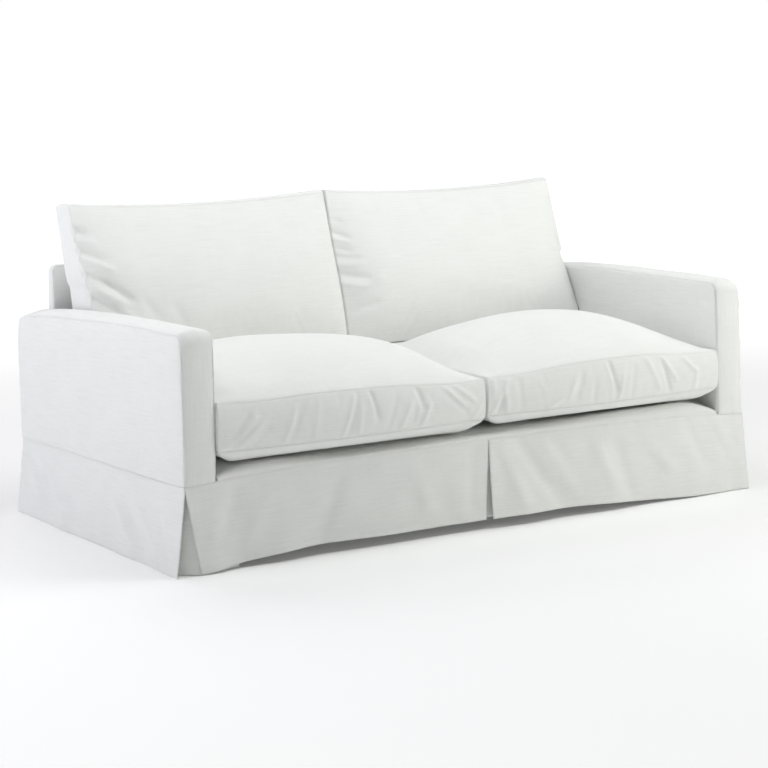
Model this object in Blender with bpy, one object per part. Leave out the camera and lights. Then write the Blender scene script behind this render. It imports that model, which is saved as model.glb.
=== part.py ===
"""A fitted slipcover for a wide two-cushion seat, sewn from flat cloth panels over
straight arms and a low back, with a floor-length skirt and four loose filled cushions.

Metres, +Z up, the front faces -Y, and the origin is at floor level under the middle.
Every panel is drawn as its outer face between the seam lines. sheet() gives it its
thickness inwards and stops it just short of each seam, so that no two panels touch.
A side is LEFT or RIGHT, and distances from the middle are multiplied by it.
"""

import math

import bmesh
import bpy
import numpy as np

LEFT = -1.0
RIGHT = 1.0
SIDE_WORD = {LEFT: "left", RIGHT: "right"}

# Cloth
CLOTH = 0.003
SEAM_CLEARANCE = 0.0003
CLOTH_COLOUR = (0.80, 0.81, 0.785, 1.0)
CLOTH_ROUGHNESS = 0.92

# Body of the cover
FRONT_Y = -0.525
REAR_Y = 0.525
SEAM_Z = 0.230
SEAM_RISE = 0.022
SEAM_RISE_POWER = 3.5
HALF_WIDTH = 0.952
ARM_LEAN_SPAN = 0.40
DECK_Z = 0.275
LIP_DEPTH = 0.022
LIP_UPRIGHT_SHARE = 0.35
DECK_LEVELS_BY = 0.12

# Distance of each arm's faces from the middle at the skirt seam, and how far
# they lean inwards over the arm's height.
ARM_FACES = {
    LEFT: {"outer": 0.950, "outer_lean": 0.000, "inner": 0.8555, "inner_lean": 0.004},
    RIGHT: {"outer": 0.956, "outer_lean": 0.014, "inner": 0.8565, "inner_lean": 0.011},
}
# Height of each arm's top seams, from the front (FRONT_Y) to the rear (REAR_Y).
# Columns: y, outer seam, inner seam.
ARM_TOP = {
    LEFT: (
        (-0.525, 0.6240, 0.6290),
        (-0.180, 0.6255, 0.6300),
        (0.080, 0.6170, 0.6270),
        (0.300, 0.6080, 0.6180),
        (0.450, 0.5965, 0.6070),
        (0.525, 0.5890, 0.5980),
    ),
    RIGHT: (
        (-0.525, 0.6300, 0.6330),
        (-0.210, 0.6350, 0.6400),
        (0.108, 0.6320, 0.6460),
        (0.300, 0.6200, 0.6380),
        (0.450, 0.6050, 0.6200),
        (0.525, 0.5960, 0.6080),
    ),
}
ARM_CROWN = {LEFT: 0.009, RIGHT: 0.014}
ARM_FRONT_CROWN = 0.003
ARM_FRONT_Z = 0.590
ARM_CROWN_STARTS = 0.06
ARM_FRONT_RADIUS = 0.028
ARM_REAR_RADIUS = 0.022
ARM_INNER_LOW_Z = 0.240
BAND_ACROSS = (0.0, 0.12, 0.32, 0.5, 0.68, 0.88, 1.0)

# Low back of the cover
BACK_TOP_Z = 0.736
BACK_RADIUS = 0.015
BACK_FACE_Y = 0.477
BACK_BOWS_BELOW_Z = 0.600
BACK_LOW_Z = 0.262
BACK_LOW_Y = 0.360
BACK_REAR_TAPER = 0.014
BACK_CROWN = 0.003
BACK_BAND_FREE = 0.008

# Height of the front edge of the deck. Columns: x, z.
LIP_TOP = (
    (-0.860, 0.2450),
    (-0.815, 0.2600),
    (-0.757, 0.2665),
    (-0.449, 0.2610),
    (-0.120, 0.2660),
    (0.224, 0.2710),
    (0.590, 0.2800),
    (0.785, 0.2730),
    (0.830, 0.2600),
    (0.860, 0.2460),
)

# Skirt
SLIT_TOP_X = 0.010
SLIT_HEM_X = 0.000
SLIT_HEM_HALF = 0.006
# Front hem. Columns: x, height over the floor, how far it stands out from the body.
FRONT_HEM = (
    (-0.950, 0.0005, 0.0290),
    (-0.776, 0.0160, 0.0230),
    (-0.623, 0.0280, 0.0200),
    (-0.306, 0.0275, 0.0200),
    (0.000, 0.0275, 0.0200),
    (0.207, 0.0270, 0.0200),
    (0.389, 0.0230, 0.0200),
    (0.576, 0.0110, 0.0200),
    (0.769, 0.0030, 0.0230),
    (0.956, 0.0005, 0.0280),
)
FRONT_HEM_ENDS = {LEFT: -0.924, RIGHT: 0.954}
# Side hems. Columns: y, how far the hem stands out on the left, and on the right.
SIDE_HEM = (
    (-0.550, 0.0440, 0.0160),
    (-0.300, 0.0340, 0.0220),
    (-0.050, 0.0280, 0.0280),
    (0.300, 0.0220, 0.0300),
    (0.560, 0.0150, 0.0240),
)
SIDE_HEM_FRONT_Y = -0.550
SIDE_HEM_REAR_Y = 0.556
SIDE_HEM_LIFT = 0.003
BACK_HEM_OUT = 0.026
BACK_HEM_HALF = 0.962
SKIRT_SWING_POWER = 1.4
# Soft swells of the skirt, fullest at the hem. Columns: place along the panel,
# half width, depth (outwards is positive), drift of the swell from seam to hem.
FRONT_SWELLS = (
    (-0.870, 0.035, 0.007, -0.010),
    (-0.795, 0.035, -0.006, 0.010),
    (-0.690, 0.050, 0.006, 0.030),
    (-0.560, 0.060, -0.004, 0.020),
    (-0.300, 0.090, 0.003, -0.020),
    (-0.060, 0.050, 0.004, 0.000),
    (0.110, 0.060, 0.006, 0.020),
    (0.250, 0.060, -0.005, 0.030),
    (0.400, 0.070, 0.006, 0.020),
    (0.560, 0.060, -0.004, 0.010),
    (0.740, 0.060, 0.005, 0.000),
    (0.890, 0.035, -0.004, 0.010),
)
SIDE_SWELLS = (
    (-0.480, 0.040, 0.005, -0.010),
    (-0.330, 0.060, -0.006, -0.030),
    (-0.180, 0.060, 0.007, -0.020),
    (0.030, 0.080, -0.004, 0.010),
    (0.200, 0.050, 0.006, 0.020),
    (0.330, 0.050, -0.006, 0.020),
    (0.450, 0.040, 0.005, 0.020),
)
BACK_SWELLS = (
    (-0.750, 0.080, 0.006, 0.020),
    (-0.450, 0.100, -0.005, 0.000),
    (-0.100, 0.110, 0.005, 0.010),
    (0.300, 0.100, -0.005, -0.010),
    (0.680, 0.090, 0.006, -0.020),
)
# Broad hollows of the flat arm panels. Columns: y, z, half length, half height, depth.
ARM_HOLLOWS = (
    (-0.300, 0.420, 0.220, 0.120, -0.0030),
    (0.100, 0.330, 0.200, 0.100, -0.0025),
    (0.330, 0.480, 0.160, 0.120, 0.0020),
)

ARM_HOLLOW_MARGIN = 0.100

# Underlays of the corner pleats and of the centre pleat
UNDERLAY_INSET = 0.0033
UNDERLAY_RADIUS = 0.040
UNDERLAY_LEG = 0.150
UNDERLAY_TOP_Z = 0.2290
UNDERLAY_HEM_Z = 0.006
UNDERLAY_FLARE = 0.006
UNDERLAY_CENTRE_HALF = 0.110
UNDERLAY_CENTRE_TOP_Z = 0.2510
UNDERLAY_CENTRE_HEM_Z = 0.031

# Seat cushions
CUSHION_CLEARANCE = 0.004
CUSHION_HALF_GAP = 0.0025
SEAT_FRONT_Y = -0.528
SEAT_FRONT_BOW = 0.020
SEAT_REAR_TOP_Y = 0.398
SEAT_REAR_LOW_Y = 0.352
SEAT_LOW_SEAM_Z = {LEFT: 0.311, RIGHT: 0.318}
SEAT_REAR_SEAM_Z = 0.436
SEAT_BASE_Z = {LEFT: 0.280, RIGHT: 0.289}
SEAT_BASE_FRONT_BORDER = 0.040
SEAT_BASE_SIDE_BORDER = 0.140
SEAT_RESTS_FROM = 0.16
SEAT_RESTS_BY = 0.36
SEAT_CROWN = {LEFT: 0.121, RIGHT: 0.114}
SEAT_FRONT_BULGE = 0.014
SEAT_REAR_BULGE = 0.006
# Height of the front top seam along each seat cushion. Columns: share of width, z.
SEAT_TOP_SEAM = {
    LEFT: ((0.0, 0.4430), (0.08, 0.4380), (0.35, 0.4420), (0.65, 0.4370), (0.92, 0.4250), (1.0, 0.4290)),
    RIGHT: ((0.0, 0.4310), (0.08, 0.4290), (0.35, 0.4440), (0.65, 0.4470), (0.92, 0.4330), (1.0, 0.4350)),
}
# Fullness of the crown across each seat cushion. Columns: share of width, share of crown.
SEAT_CROWN_ACROSS = {
    LEFT: ((0.0, 0.0), (0.05, 0.62), (0.12, 0.88), (0.28, 1.0), (0.5, 0.96), (0.7, 0.86),
           (0.84, 0.71), (0.93, 0.47), (1.0, 0.0)),
    RIGHT: ((0.0, 0.0), (0.05, 0.45), (0.12, 0.68), (0.28, 0.90), (0.45, 1.0), (0.62, 0.94),
            (0.78, 0.76), (0.90, 0.50), (0.96, 0.28), (1.0, 0.0)),
}
# Fullness from the front seam to the rear seam. Columns: share of depth, share of crown.
SEAT_CROWN_ALONG = (
    (0.0, 0.0), (0.035, 0.40), (0.09, 0.70), (0.18, 0.91), (0.30, 1.0), (0.42, 0.96),
    (0.54, 0.72), (0.64, 0.36), (0.72, 0.13), (0.82, 0.09), (1.0, 0.0),
)
# Folds pressed into the seat boxing along the front. Columns: share of width,
# half width, depth, lean in metres from the top seam to the low seam.
SEAT_BOXING_FOLDS = {
    LEFT: ((0.10, 0.030, 0.006, 0.030), (0.42, 0.030, 0.004, 0.020), (0.70, 0.030, 0.007, -0.020)),
    RIGHT: ((0.07, 0.030, 0.006, 0.040), (0.42, 0.030, 0.007, 0.020), (0.68, 0.035, 0.005, 0.020)),
}

# Back cushions. Each row is a height. Columns: z, y of the front seam at the left
# cushion's outer end, at the right cushion's outer end and at the ends that meet in the
# middle, y of the rear seam, and how far the outer ends stand from the middle.
BACK_ROWS = (
    (0.4522, 0.165, 0.121, 0.195, 0.327, 0.8470),
    (0.520, 0.186, 0.148, 0.208, 0.340, 0.8470),
    (0.640, 0.228, 0.204, 0.240, 0.362, 0.8480),
    (0.740, 0.255, 0.259, 0.274, 0.384, 0.8560),
    (0.840, 0.302, 0.296, 0.303, 0.404, 0.8585),
    (0.922, 0.326, 0.326, 0.325, 0.424, 0.8590),
)
BACK_OVER_ARM_Z = 0.690
BACK_TOP_DIP = 0.019
BACK_REAR_TOP_DROP = 0.010
BACK_FRONT_CROWN = 0.062
BACK_REAR_CROWN = 0.1020
BACK_TOP_BULGE = 0.008
BACK_LOW_BULGE = {LEFT: 0.0039, RIGHT: 0.0022}
BACK_CROWN_ACROSS = (
    (0.0, 0.0), (0.05, 0.42), (0.13, 0.72), (0.30, 0.94), (0.5, 1.0), (0.70, 0.94),
    (0.87, 0.72), (0.95, 0.42), (1.0, 0.0),
)
BACK_CROWN_UP = (
    (0.0, 0.0), (0.06, 0.42), (0.16, 0.78), (0.32, 1.0), (0.50, 0.97), (0.70, 0.76),
    (0.86, 0.45), (0.95, 0.19), (1.0, 0.0),
)
BACK_REAR_CROWN_UP = (
    (0.0, 0.0), (0.10, 0.30), (0.28, 0.72), (0.42, 0.96), (0.52, 1.0), (0.66, 0.80),
    (0.86, 0.34), (1.0, 0.0),
)
# Creases running in from the outer seam. Columns: share of height, half height,
# length into the face, depth, drop along the crease.
BACK_CREASES = (
    (0.66, 0.022, 0.14, 0.010, 0.10),
    (0.50, 0.022, 0.20, 0.010, 0.16),
    (0.34, 0.020, 0.20, 0.008, 0.16),
)


def curve(rows, place):
    """A smooth line through a table of (place, value) rows."""
    at, value = np.array([row[:2] for row in rows]).T
    slope = np.gradient(value, at)
    place = np.clip(place, at[0], at[-1])
    i = np.clip(np.searchsorted(at, place) - 1, 0, len(at) - 2)
    step = at[i + 1] - at[i]
    t = (place - at[i]) / step
    near = (1 + 2 * t) * (1 - t) ** 2 * value[i] + t * (1 - t) ** 2 * step * slope[i]
    far = t**2 * (3 - 2 * t) * value[i + 1] - t**2 * (1 - t) * step * slope[i + 1]
    return near + far


def column(rows, number):
    """A table's first column with another of its columns beside it."""
    return tuple((row[0], row[number]) for row in rows)


def mix(a, b, t):
    return a + (b - a) * t


def bump(distance, half):
    """1 on a fold's line, falling softly to 0 beyond its half width."""
    return np.exp(-((distance / half) ** 2))


def swells(rows, place, down):
    """How far a skirt swings out at a place; down is 0 at the seam and 1 at the hem."""
    total = np.zeros_like(place + down)
    for at, half, depth, drift in rows:
        total = total + depth * bump(place - at - drift * down, half)
    return total * down**SKIRT_SWING_POWER


def outer_x(side, z):
    face = ARM_FACES[side]
    return face["outer"] - face["outer_lean"] * (z - SEAM_Z) / ARM_LEAN_SPAN


def inner_x(side, z):
    face = ARM_FACES[side]
    return face["inner"] - face["inner_lean"] * (z - SEAM_Z) / ARM_LEAN_SPAN


def front_seam_z(x):
    """The front skirt seam rises a little between the corners."""
    return SEAM_Z + SEAM_RISE * (1 - np.minimum(abs(x) / HALF_WIDTH, 1) ** SEAM_RISE_POWER)


def back_face_y(z):
    """The inside back is upright at the top and comes forward below the arms' height."""
    below = np.clip((BACK_BOWS_BELOW_Z - z) / (BACK_BOWS_BELOW_Z - BACK_LOW_Z), 0, 1)
    return BACK_FACE_Y - (BACK_FACE_Y - BACK_LOW_Y) * below


def back_rear_y(z, arm_z):
    """The outside back leans forward a little above the arms."""
    return REAR_Y - BACK_REAR_TAPER * np.clip((z - arm_z) / (BACK_TOP_Z - arm_z), 0, 1)


def cloth_material(name):
    material = bpy.data.materials.new(name + "_cloth")
    material.use_nodes = True
    shader = material.node_tree.nodes["Principled BSDF"]
    shader.inputs["Base Color"].default_value = CLOTH_COLOUR
    shader.inputs["Roughness"].default_value = CLOTH_ROUGHNESS
    shader.inputs["Metallic"].default_value = 0.0
    return material


def solid(name, points, faces, origin):
    """A closed mesh object whose origin is the given point."""
    mesh = bpy.data.meshes.new(name)
    mesh.from_pydata((points - np.array(origin)).tolist(), [], [list(face) for face in faces])
    work = bmesh.new()
    work.from_mesh(mesh)
    loose = [vertex for vertex in work.verts if not vertex.link_faces]
    bmesh.ops.delete(work, geom=loose, context="VERTS")
    bmesh.ops.recalc_face_normals(work, faces=work.faces)
    work.to_mesh(mesh)
    work.free()
    obj = bpy.data.objects.new(name, mesh)
    obj.location = origin
    obj.data.materials.append(cloth_material(name))
    bpy.context.scene.collection.objects.link(obj)
    return obj


def border_shift(points, quads, normal):
    """The free edges of a face grid, and for each point on them the step that moves
    its two edges one unit into the cloth."""
    edges = {(int(q[k]), int(q[(k + 1) % 4])) for q in quads for k in range(4)}
    border = [edge for edge in edges if edge[::-1] not in edges]
    inward = {}
    for start, end in border:
        along = points[end] - points[start]
        step = np.cross(normal[start] + normal[end], along)
        step = step / np.linalg.norm(step)
        inward.setdefault(start, []).append(step)
        inward.setdefault(end, []).append(step)
    shift = np.zeros_like(points)
    for index, steps in inward.items():
        first, second = steps[0], steps[-1]
        shift[index] = (first + second) / (1 + first @ second)
    return border, shift


def sheet(name, grid, outward, origin, keep=None):
    """One cloth panel. The grid is its outer face from seam line to seam line, and
    its edges are cut back on a slant, so that it meets its neighbours in a mitre."""
    rows, columns, _ = grid.shape
    index = np.arange(rows * columns).reshape(rows, columns)
    quads = np.stack([index[:-1, :-1], index[1:, :-1], index[1:, 1:], index[:-1, 1:]], -1)
    quads = quads.reshape(-1, 4) if keep is None else quads[keep]
    points = grid.reshape(-1, 3)
    a, b, c, d = (points[quads[:, k]] for k in range(4))
    face = np.cross(c - a, d - b)
    if face.sum(0) @ np.array(outward) < 0:
        quads = quads[:, ::-1]
        face = -face
    normal = np.zeros_like(points)
    for k in range(4):
        np.add.at(normal, quads[:, k], face)
    length = np.linalg.norm(normal, axis=1, keepdims=True)
    normal = normal / np.where(length > 0, length, 1)
    border, shift = border_shift(points, quads, normal)
    outer = points + SEAM_CLEARANCE * shift
    inner = points - CLOTH * normal + (SEAM_CLEARANCE + CLOTH) * shift
    under = len(points)
    faces = [tuple(quad) for quad in quads]
    faces += [tuple(quad[::-1] + under) for quad in quads]
    faces += [(start, start + under, end + under, end) for start, end in border]
    return solid(name, np.concatenate([outer, inner]), faces, origin)


def grid_of(x, y, z):
    return np.stack(np.broadcast_arrays(x, y, z), -1).astype(float)


def arm_path(side, edge):
    """Stations of an arm band's edge, from the rear over the top and down the front:
    y, z, and the outward direction there as (y, z)."""
    number = 1 if edge == "outer" else 2
    top = column(ARM_TOP[side], number)
    rear_y = REAR_Y - ARM_REAR_RADIUS
    front_y = FRONT_Y + ARM_FRONT_RADIUS
    rear_z = curve(top, rear_y) - ARM_REAR_RADIUS
    front_z = curve(top, front_y) - ARM_FRONT_RADIUS
    path = []
    for angle in np.radians((0, 45)):
        out = (math.cos(angle), math.sin(angle))
        path.append((rear_y + ARM_REAR_RADIUS * out[0], rear_z + ARM_REAR_RADIUS * out[1], *out))
    for y in np.linspace(rear_y, front_y, 10):
        path.append((y, curve(top, y), 0.0, 1.0))
    for angle in np.radians((62, 35, 0)):
        out = (-math.cos(angle), math.sin(angle))
        path.append((front_y + ARM_FRONT_RADIUS * out[0], front_z + ARM_FRONT_RADIUS * out[1], *out))
    for z in np.linspace(front_z, SEAM_Z, 6)[1:]:
        path.append((FRONT_Y, z, -1.0, 0.0))
    return np.array(path)


def over_the_top(side, edge):
    """The part of an arm band's edge that borders the upright arm panel."""
    path = arm_path(side, edge)
    down = np.flatnonzero(path[:, 2] == -1.0)
    return path[: down[0] + 1]


def arm_outer(side):
    path = over_the_top(side, "outer")
    rise = np.linspace(0, 1, 6)[:, None]
    y = path[None, :, 0]
    z = mix(SEAM_Z, path[None, :, 1], rise)
    out = np.zeros_like(z)
    for at_y, at_z, half_y, half_z, depth in ARM_HOLLOWS:
        out = out + depth * bump(y - at_y, half_y) * bump(z - at_z, half_z)
    out = out * np.sin(rise * math.pi) * np.clip((REAR_Y - abs(y)) / ARM_HOLLOW_MARGIN, 0, 1)
    grid = grid_of(side * (outer_x(side, z) + out), y, z)
    name = "arm_outer_" + SIDE_WORD[side]
    sheet(name, grid, (side, 0, 0), (side * outer_x(side, SEAM_Z), 0, SEAM_Z))


def arm_inner(side):
    path = over_the_top(side, "inner")
    top = column(path, 1)[::-1]
    y = np.concatenate([[BACK_FACE_Y], path[path[:, 0] < BACK_FACE_Y - ARM_REAR_RADIUS, 0]])
    rise = np.linspace(0, 1, 5)[:, None]
    top_z = np.interp(y, [row[0] for row in top], [row[1] for row in top])
    z = mix(ARM_INNER_LOW_Z, top_z[None, :], rise)
    grid = grid_of(side * inner_x(side, z), y[None, :], z)
    name = "arm_inner_" + SIDE_WORD[side]
    sheet(name, grid, (-side, 0, 0), (side * inner_x(side, SEAM_Z), 0, ARM_INNER_LOW_Z))


def arm_band(side):
    """The strip over the arm's top and down its front, crowned between its seams."""
    outer = arm_path(side, "outer")[:, None, :]
    inner = arm_path(side, "inner")[:, None, :]
    across = np.array(BAND_ACROSS)[None, :]
    y, z, out_y, out_z = (mix(outer[..., k], inner[..., k], across) for k in range(4))
    x = side * mix(outer_x(side, z), inner_x(side, z), across)
    downwards = np.clip((ARM_FRONT_Z - z) / (ARM_FRONT_Z - SEAM_Z), 0, 1)
    z = z + (front_seam_z(x) - SEAM_Z) * downwards * (out_y < 0)
    settle = np.clip((REAR_Y - y) / ARM_CROWN_STARTS, 0, 1)
    crown = mix(ARM_FRONT_CROWN, ARM_CROWN[side], np.clip(out_z, 0, 1)) * settle
    foot = np.clip((z - SEAM_Z) / ARM_CROWN_STARTS, 0, 1)
    swell = crown * foot * (1 - (2 * across - 1) ** 2)
    grid = grid_of(x, y + out_y * swell, z + out_z * swell)
    middle = (ARM_FACES[side]["outer"] + ARM_FACES[side]["inner"]) / 2
    sheet("arm_band_" + SIDE_WORD[side], grid, (0, -1, 1), (side * middle, FRONT_Y, SEAM_Z))


def back_columns():
    """Columns of the low back between the arms: share across, and how far the top
    edge is down there because of the rounded corners."""
    slant = BACK_RADIUS * (1 - math.sqrt(0.5))
    half = ARM_FACES[LEFT]["inner"]
    ends = [(0.0, BACK_RADIUS), (slant, slant), (BACK_RADIUS, 0.0)]
    inside = np.linspace(-half + BACK_RADIUS, half - BACK_RADIUS, 9)[1:-1]
    left = [(-half + step, drop) for step, drop in ends]
    return left + [(x, 0.0) for x in inside] + [(-x, drop) for x, drop in left[::-1]]


def wing_top_z(side, edge):
    return arm_path(side, edge)[0, 1]


def back_edge_x(x, z):
    """Moves a place across the low back onto the leaning inner faces of the arms."""
    side = np.where(x < 0, LEFT, RIGHT)
    half = ARM_FACES[LEFT]["inner"]
    edge = np.where(x < 0, inner_x(LEFT, z), inner_x(RIGHT, z))
    return x + side * (edge - half) * np.clip((abs(x) / half - 0.9) * 10, 0, 1)


def back_outer():
    """The outside back: full width up to the arms, and then the low back alone."""
    middle = back_columns()
    low_x = [row[0] for row in middle]
    wings = {side: (wing_top_z(side, "outer"), wing_top_z(side, "inner")) for side in (LEFT, RIGHT)}
    columns = [(None, LEFT), *[(x, 0) for x in low_x], (None, RIGHT)]
    drop = [0.0, *[row[1] for row in middle], 0.0]
    rows = [*[(share, 0.0) for share in np.linspace(0, 1, 5)], (1.0, 0.5), (1.0, 1.0)]
    x, y, z = (np.zeros((len(rows), len(columns))) for _ in range(3))
    for i, (low_share, high_share) in enumerate(rows):
        for j, (place, side) in enumerate(columns):
            if side:
                wing_z = wings[side][0]
            else:
                share = (place - low_x[0]) / (low_x[-1] - low_x[0])
                wing_z = mix(wings[LEFT][1], wings[RIGHT][1], share)
            height = mix(SEAM_Z, wing_z, low_share)
            if not side:
                height = mix(height, BACK_TOP_Z - drop[j], high_share)
            z[i, j] = height
            y[i, j] = back_rear_y(height, wing_z)
            x[i, j] = side * outer_x(side, height) if side else back_edge_x(place, height)
    keep = np.ones((len(rows) - 1, len(columns) - 1), bool)
    keep[4:, 0] = False
    keep[4:, -1] = False
    sheet("back_outer", grid_of(x, y, z), (0, 1, 0), (0, REAR_Y, SEAM_Z), keep)


def back_inner():
    """The inside back, behind the cushions."""
    middle = back_columns()
    place = np.array([row[0] for row in middle])[None, :]
    drop = np.array([row[1] for row in middle])[None, :]
    arm_z = mix(wing_top_z(LEFT, "inner"), wing_top_z(RIGHT, "inner"), 0.5)
    low = np.array((BACK_LOW_Z, 0.37, 0.48, arm_z, BACK_BOWS_BELOW_Z, BACK_BOWS_BELOW_Z))[:, None]
    high = np.array((0.0, 0.0, 0.0, 0.0, 0.45, 1.0))[:, None]
    z = mix(low, BACK_TOP_Z - drop, high)
    grid = grid_of(back_edge_x(place, z), back_face_y(z), z)
    sheet("back_inner", grid, (0, -1, 0), (0, BACK_FACE_Y, BACK_LOW_Z))


def back_band():
    """The strip up one side of the low back, over its top and down the other side."""
    middle = back_columns()
    x = np.array([row[0] for row in middle])
    z = BACK_TOP_Z - np.array([row[1] for row in middle])
    low = [wing_top_z(side, "inner") for side in (LEFT, RIGHT)]
    arm = [curve(column(ARM_TOP[side], 2), BACK_FACE_Y) + BACK_BAND_FREE for side in (LEFT, RIGHT)]
    knee = [mix(end, BACK_TOP_Z, 0.5) for end in arm]
    x = np.concatenate([[x[0]] * 3, x, [x[-1]] * 3])[:, None]
    z = np.concatenate([[low[0], arm[0], knee[0]], z, [knee[1], arm[1], low[1]]])[:, None]
    across = np.array((0.0, 0.5, 1.0))[None, :]
    clear = np.clip((z - np.where(x < 0, *arm)) / BACK_BAND_FREE, 0, 1)
    out = BACK_CROWN * (1 - (2 * across - 1) ** 2) * clear
    on_top = np.clip((z - BACK_TOP_Z + BACK_RADIUS) / BACK_RADIUS, 0, 1)
    low_z = mix(*low, (x - x[0]) / (x[-1] - x[0]))
    y = mix(back_rear_y(z, low_z), BACK_FACE_Y, across)
    edge = back_edge_x(x, z)
    grid = grid_of(edge + np.sign(x) * out * (1 - on_top), y, z + out * on_top)
    sheet("back_band", grid, (0, 0, 1), (0, (REAR_Y + BACK_FACE_Y) / 2, BACK_TOP_Z))


def deck():
    """The seat platform: up the front edge from the skirt seam and back under the cushions."""
    x = np.linspace(-1, 1, 19)
    low = back_edge_x(np.sign(x) * abs(x) ** 0.8 * ARM_FACES[LEFT]["inner"], DECK_Z)[:, None]
    seam = front_seam_z(low)
    lip = curve(LIP_TOP, low)
    upright = mix(seam, lip, LIP_UPRIGHT_SHARE)
    columns = [(np.full_like(low, FRONT_Y), seam), (np.full_like(low, FRONT_Y), upright)]
    for angle in np.radians((30, 60, 90)):
        y = FRONT_Y + LIP_DEPTH * (1 - math.cos(angle))
        columns.append((np.full_like(low, y), mix(upright, lip, math.sin(angle))))
    for y in (FRONT_Y + DECK_LEVELS_BY, -0.15, 0.1, back_face_y(DECK_Z)):
        columns.append((np.full_like(low, y), np.full_like(low, DECK_Z)))
    y = np.concatenate([pair[0] for pair in columns], 1)
    z = np.concatenate([pair[1] for pair in columns], 1)
    sheet("deck", grid_of(low, y, z), (0, 0, 1), (0, 0, DECK_Z))


def skirt_rows():
    return np.array((0.0, 0.2, 0.45, 0.72, 1.0))[:, None]


def skirt_front(side):
    """Half of the front skirt, from the corner to the centre pleat's slit."""
    down = skirt_rows()
    share = np.linspace(0, 1, 14)[None, :]
    seam_x = mix(side * outer_x(side, SEAM_Z), SLIT_TOP_X, share)
    hem_x = mix(FRONT_HEM_ENDS[side], SLIT_HEM_X + side * SLIT_HEM_HALF, share)
    x = mix(seam_x, hem_x, down)
    seam = front_seam_z(seam_x)
    hem = curve(column(FRONT_HEM, 1), hem_x)
    out = curve(column(FRONT_HEM, 2), hem_x) * down + swells(FRONT_SWELLS, x, down)
    grid = grid_of(x, FRONT_Y - out, mix(seam, hem, down))
    corner = (side * outer_x(side, SEAM_Z), FRONT_Y, SEAM_Z)
    sheet("skirt_front_" + SIDE_WORD[side], grid, (0, -1, 0), corner)


def skirt_side(side):
    down = skirt_rows()
    share = np.linspace(0, 1, 15)[None, :]
    y = mix(mix(FRONT_Y, REAR_Y, share), mix(SIDE_HEM_FRONT_Y, SIDE_HEM_REAR_Y, share), down)
    number = 1 if side == LEFT else 2
    out = curve(column(SIDE_HEM, number), y) * down + swells(SIDE_SWELLS, side * y, down)
    hem = SIDE_HEM_LIFT * np.sin(share * math.pi) ** 2
    grid = grid_of(side * (outer_x(side, SEAM_Z) + out), y, mix(SEAM_Z, hem, down))
    corner = (side * outer_x(side, SEAM_Z), 0, SEAM_Z)
    sheet("skirt_side_" + SIDE_WORD[side], grid, (side, 0, 0), corner)


def skirt_back():
    down = skirt_rows()
    share = np.linspace(0, 1, 17)[None, :]
    seam_x = mix(-outer_x(LEFT, SEAM_Z), outer_x(RIGHT, SEAM_Z), share)
    x = mix(seam_x, mix(-BACK_HEM_HALF, BACK_HEM_HALF, share), down)
    out = BACK_HEM_OUT * down + swells(BACK_SWELLS, x, down)
    hem = SIDE_HEM_LIFT * np.sin(share * math.pi) ** 2
    sheet("skirt_back", grid_of(x, REAR_Y + out, mix(SEAM_Z, hem, down)), (0, 1, 0), (0, REAR_Y, SEAM_Z))


def underlay_corner(side, end):
    """The piece behind a corner opening, folded round the corner in a soft bend."""
    edge_x = outer_x(side, SEAM_Z) - UNDERLAY_INSET
    edge_y = abs(FRONT_Y) - UNDERLAY_INSET
    turn_x = edge_x - UNDERLAY_RADIUS
    turn_y = edge_y - UNDERLAY_RADIUS
    leg = np.linspace(UNDERLAY_LEG - UNDERLAY_RADIUS, 0, 3)
    path = [(edge_x, turn_y - far, 1.0, 0.0) for far in leg]
    for angle in np.radians((22.5, 45, 67.5)):
        out = (math.cos(angle), math.sin(angle))
        path.append((turn_x + UNDERLAY_RADIUS * out[0], turn_y + UNDERLAY_RADIUS * out[1], *out))
    path += [(turn_x - far, edge_y, 0.0, 1.0) for far in leg[::-1]]
    x, y, out_x, out_y = (np.array(path)[None, :, k] for k in range(4))
    down = np.array((0.0, 0.5, 1.0))[:, None]
    flare = UNDERLAY_FLARE * down
    z = mix(UNDERLAY_TOP_Z, UNDERLAY_HEM_Z, down)
    grid = grid_of(side * (x + out_x * flare), end * (y + out_y * flare), z)
    word = "front" if end < 0 else "rear"
    corner = (side * outer_x(side, SEAM_Z), end * REAR_Y, SEAM_Z)
    sheet(f"underlay_{word}_{SIDE_WORD[side]}", grid, (side, end, 0), corner)


def underlay_centre():
    down = np.array((0.0, 0.5, 1.0))[:, None]
    x = np.linspace(-UNDERLAY_CENTRE_HALF, UNDERLAY_CENTRE_HALF, 5)[None, :] + SLIT_TOP_X / 2
    z = mix(UNDERLAY_CENTRE_TOP_Z, UNDERLAY_CENTRE_HEM_Z, down)
    y = FRONT_Y + UNDERLAY_INSET - UNDERLAY_FLARE * down
    sheet("underlay_centre", grid_of(x, y, z), (0, -1, 0), (0, FRONT_Y, SEAM_Z))


def border_of(rows, columns):
    """Index pairs once round the border of a grid."""
    first = [(i, 0) for i in range(rows - 1)]
    second = [(rows - 1, j) for j in range(columns - 1)]
    third = [(i, columns - 1) for i in range(rows - 1, 0, -1)]
    fourth = [(0, j) for j in range(columns - 1, 0, -1)]
    return first + second + third + fourth


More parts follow.
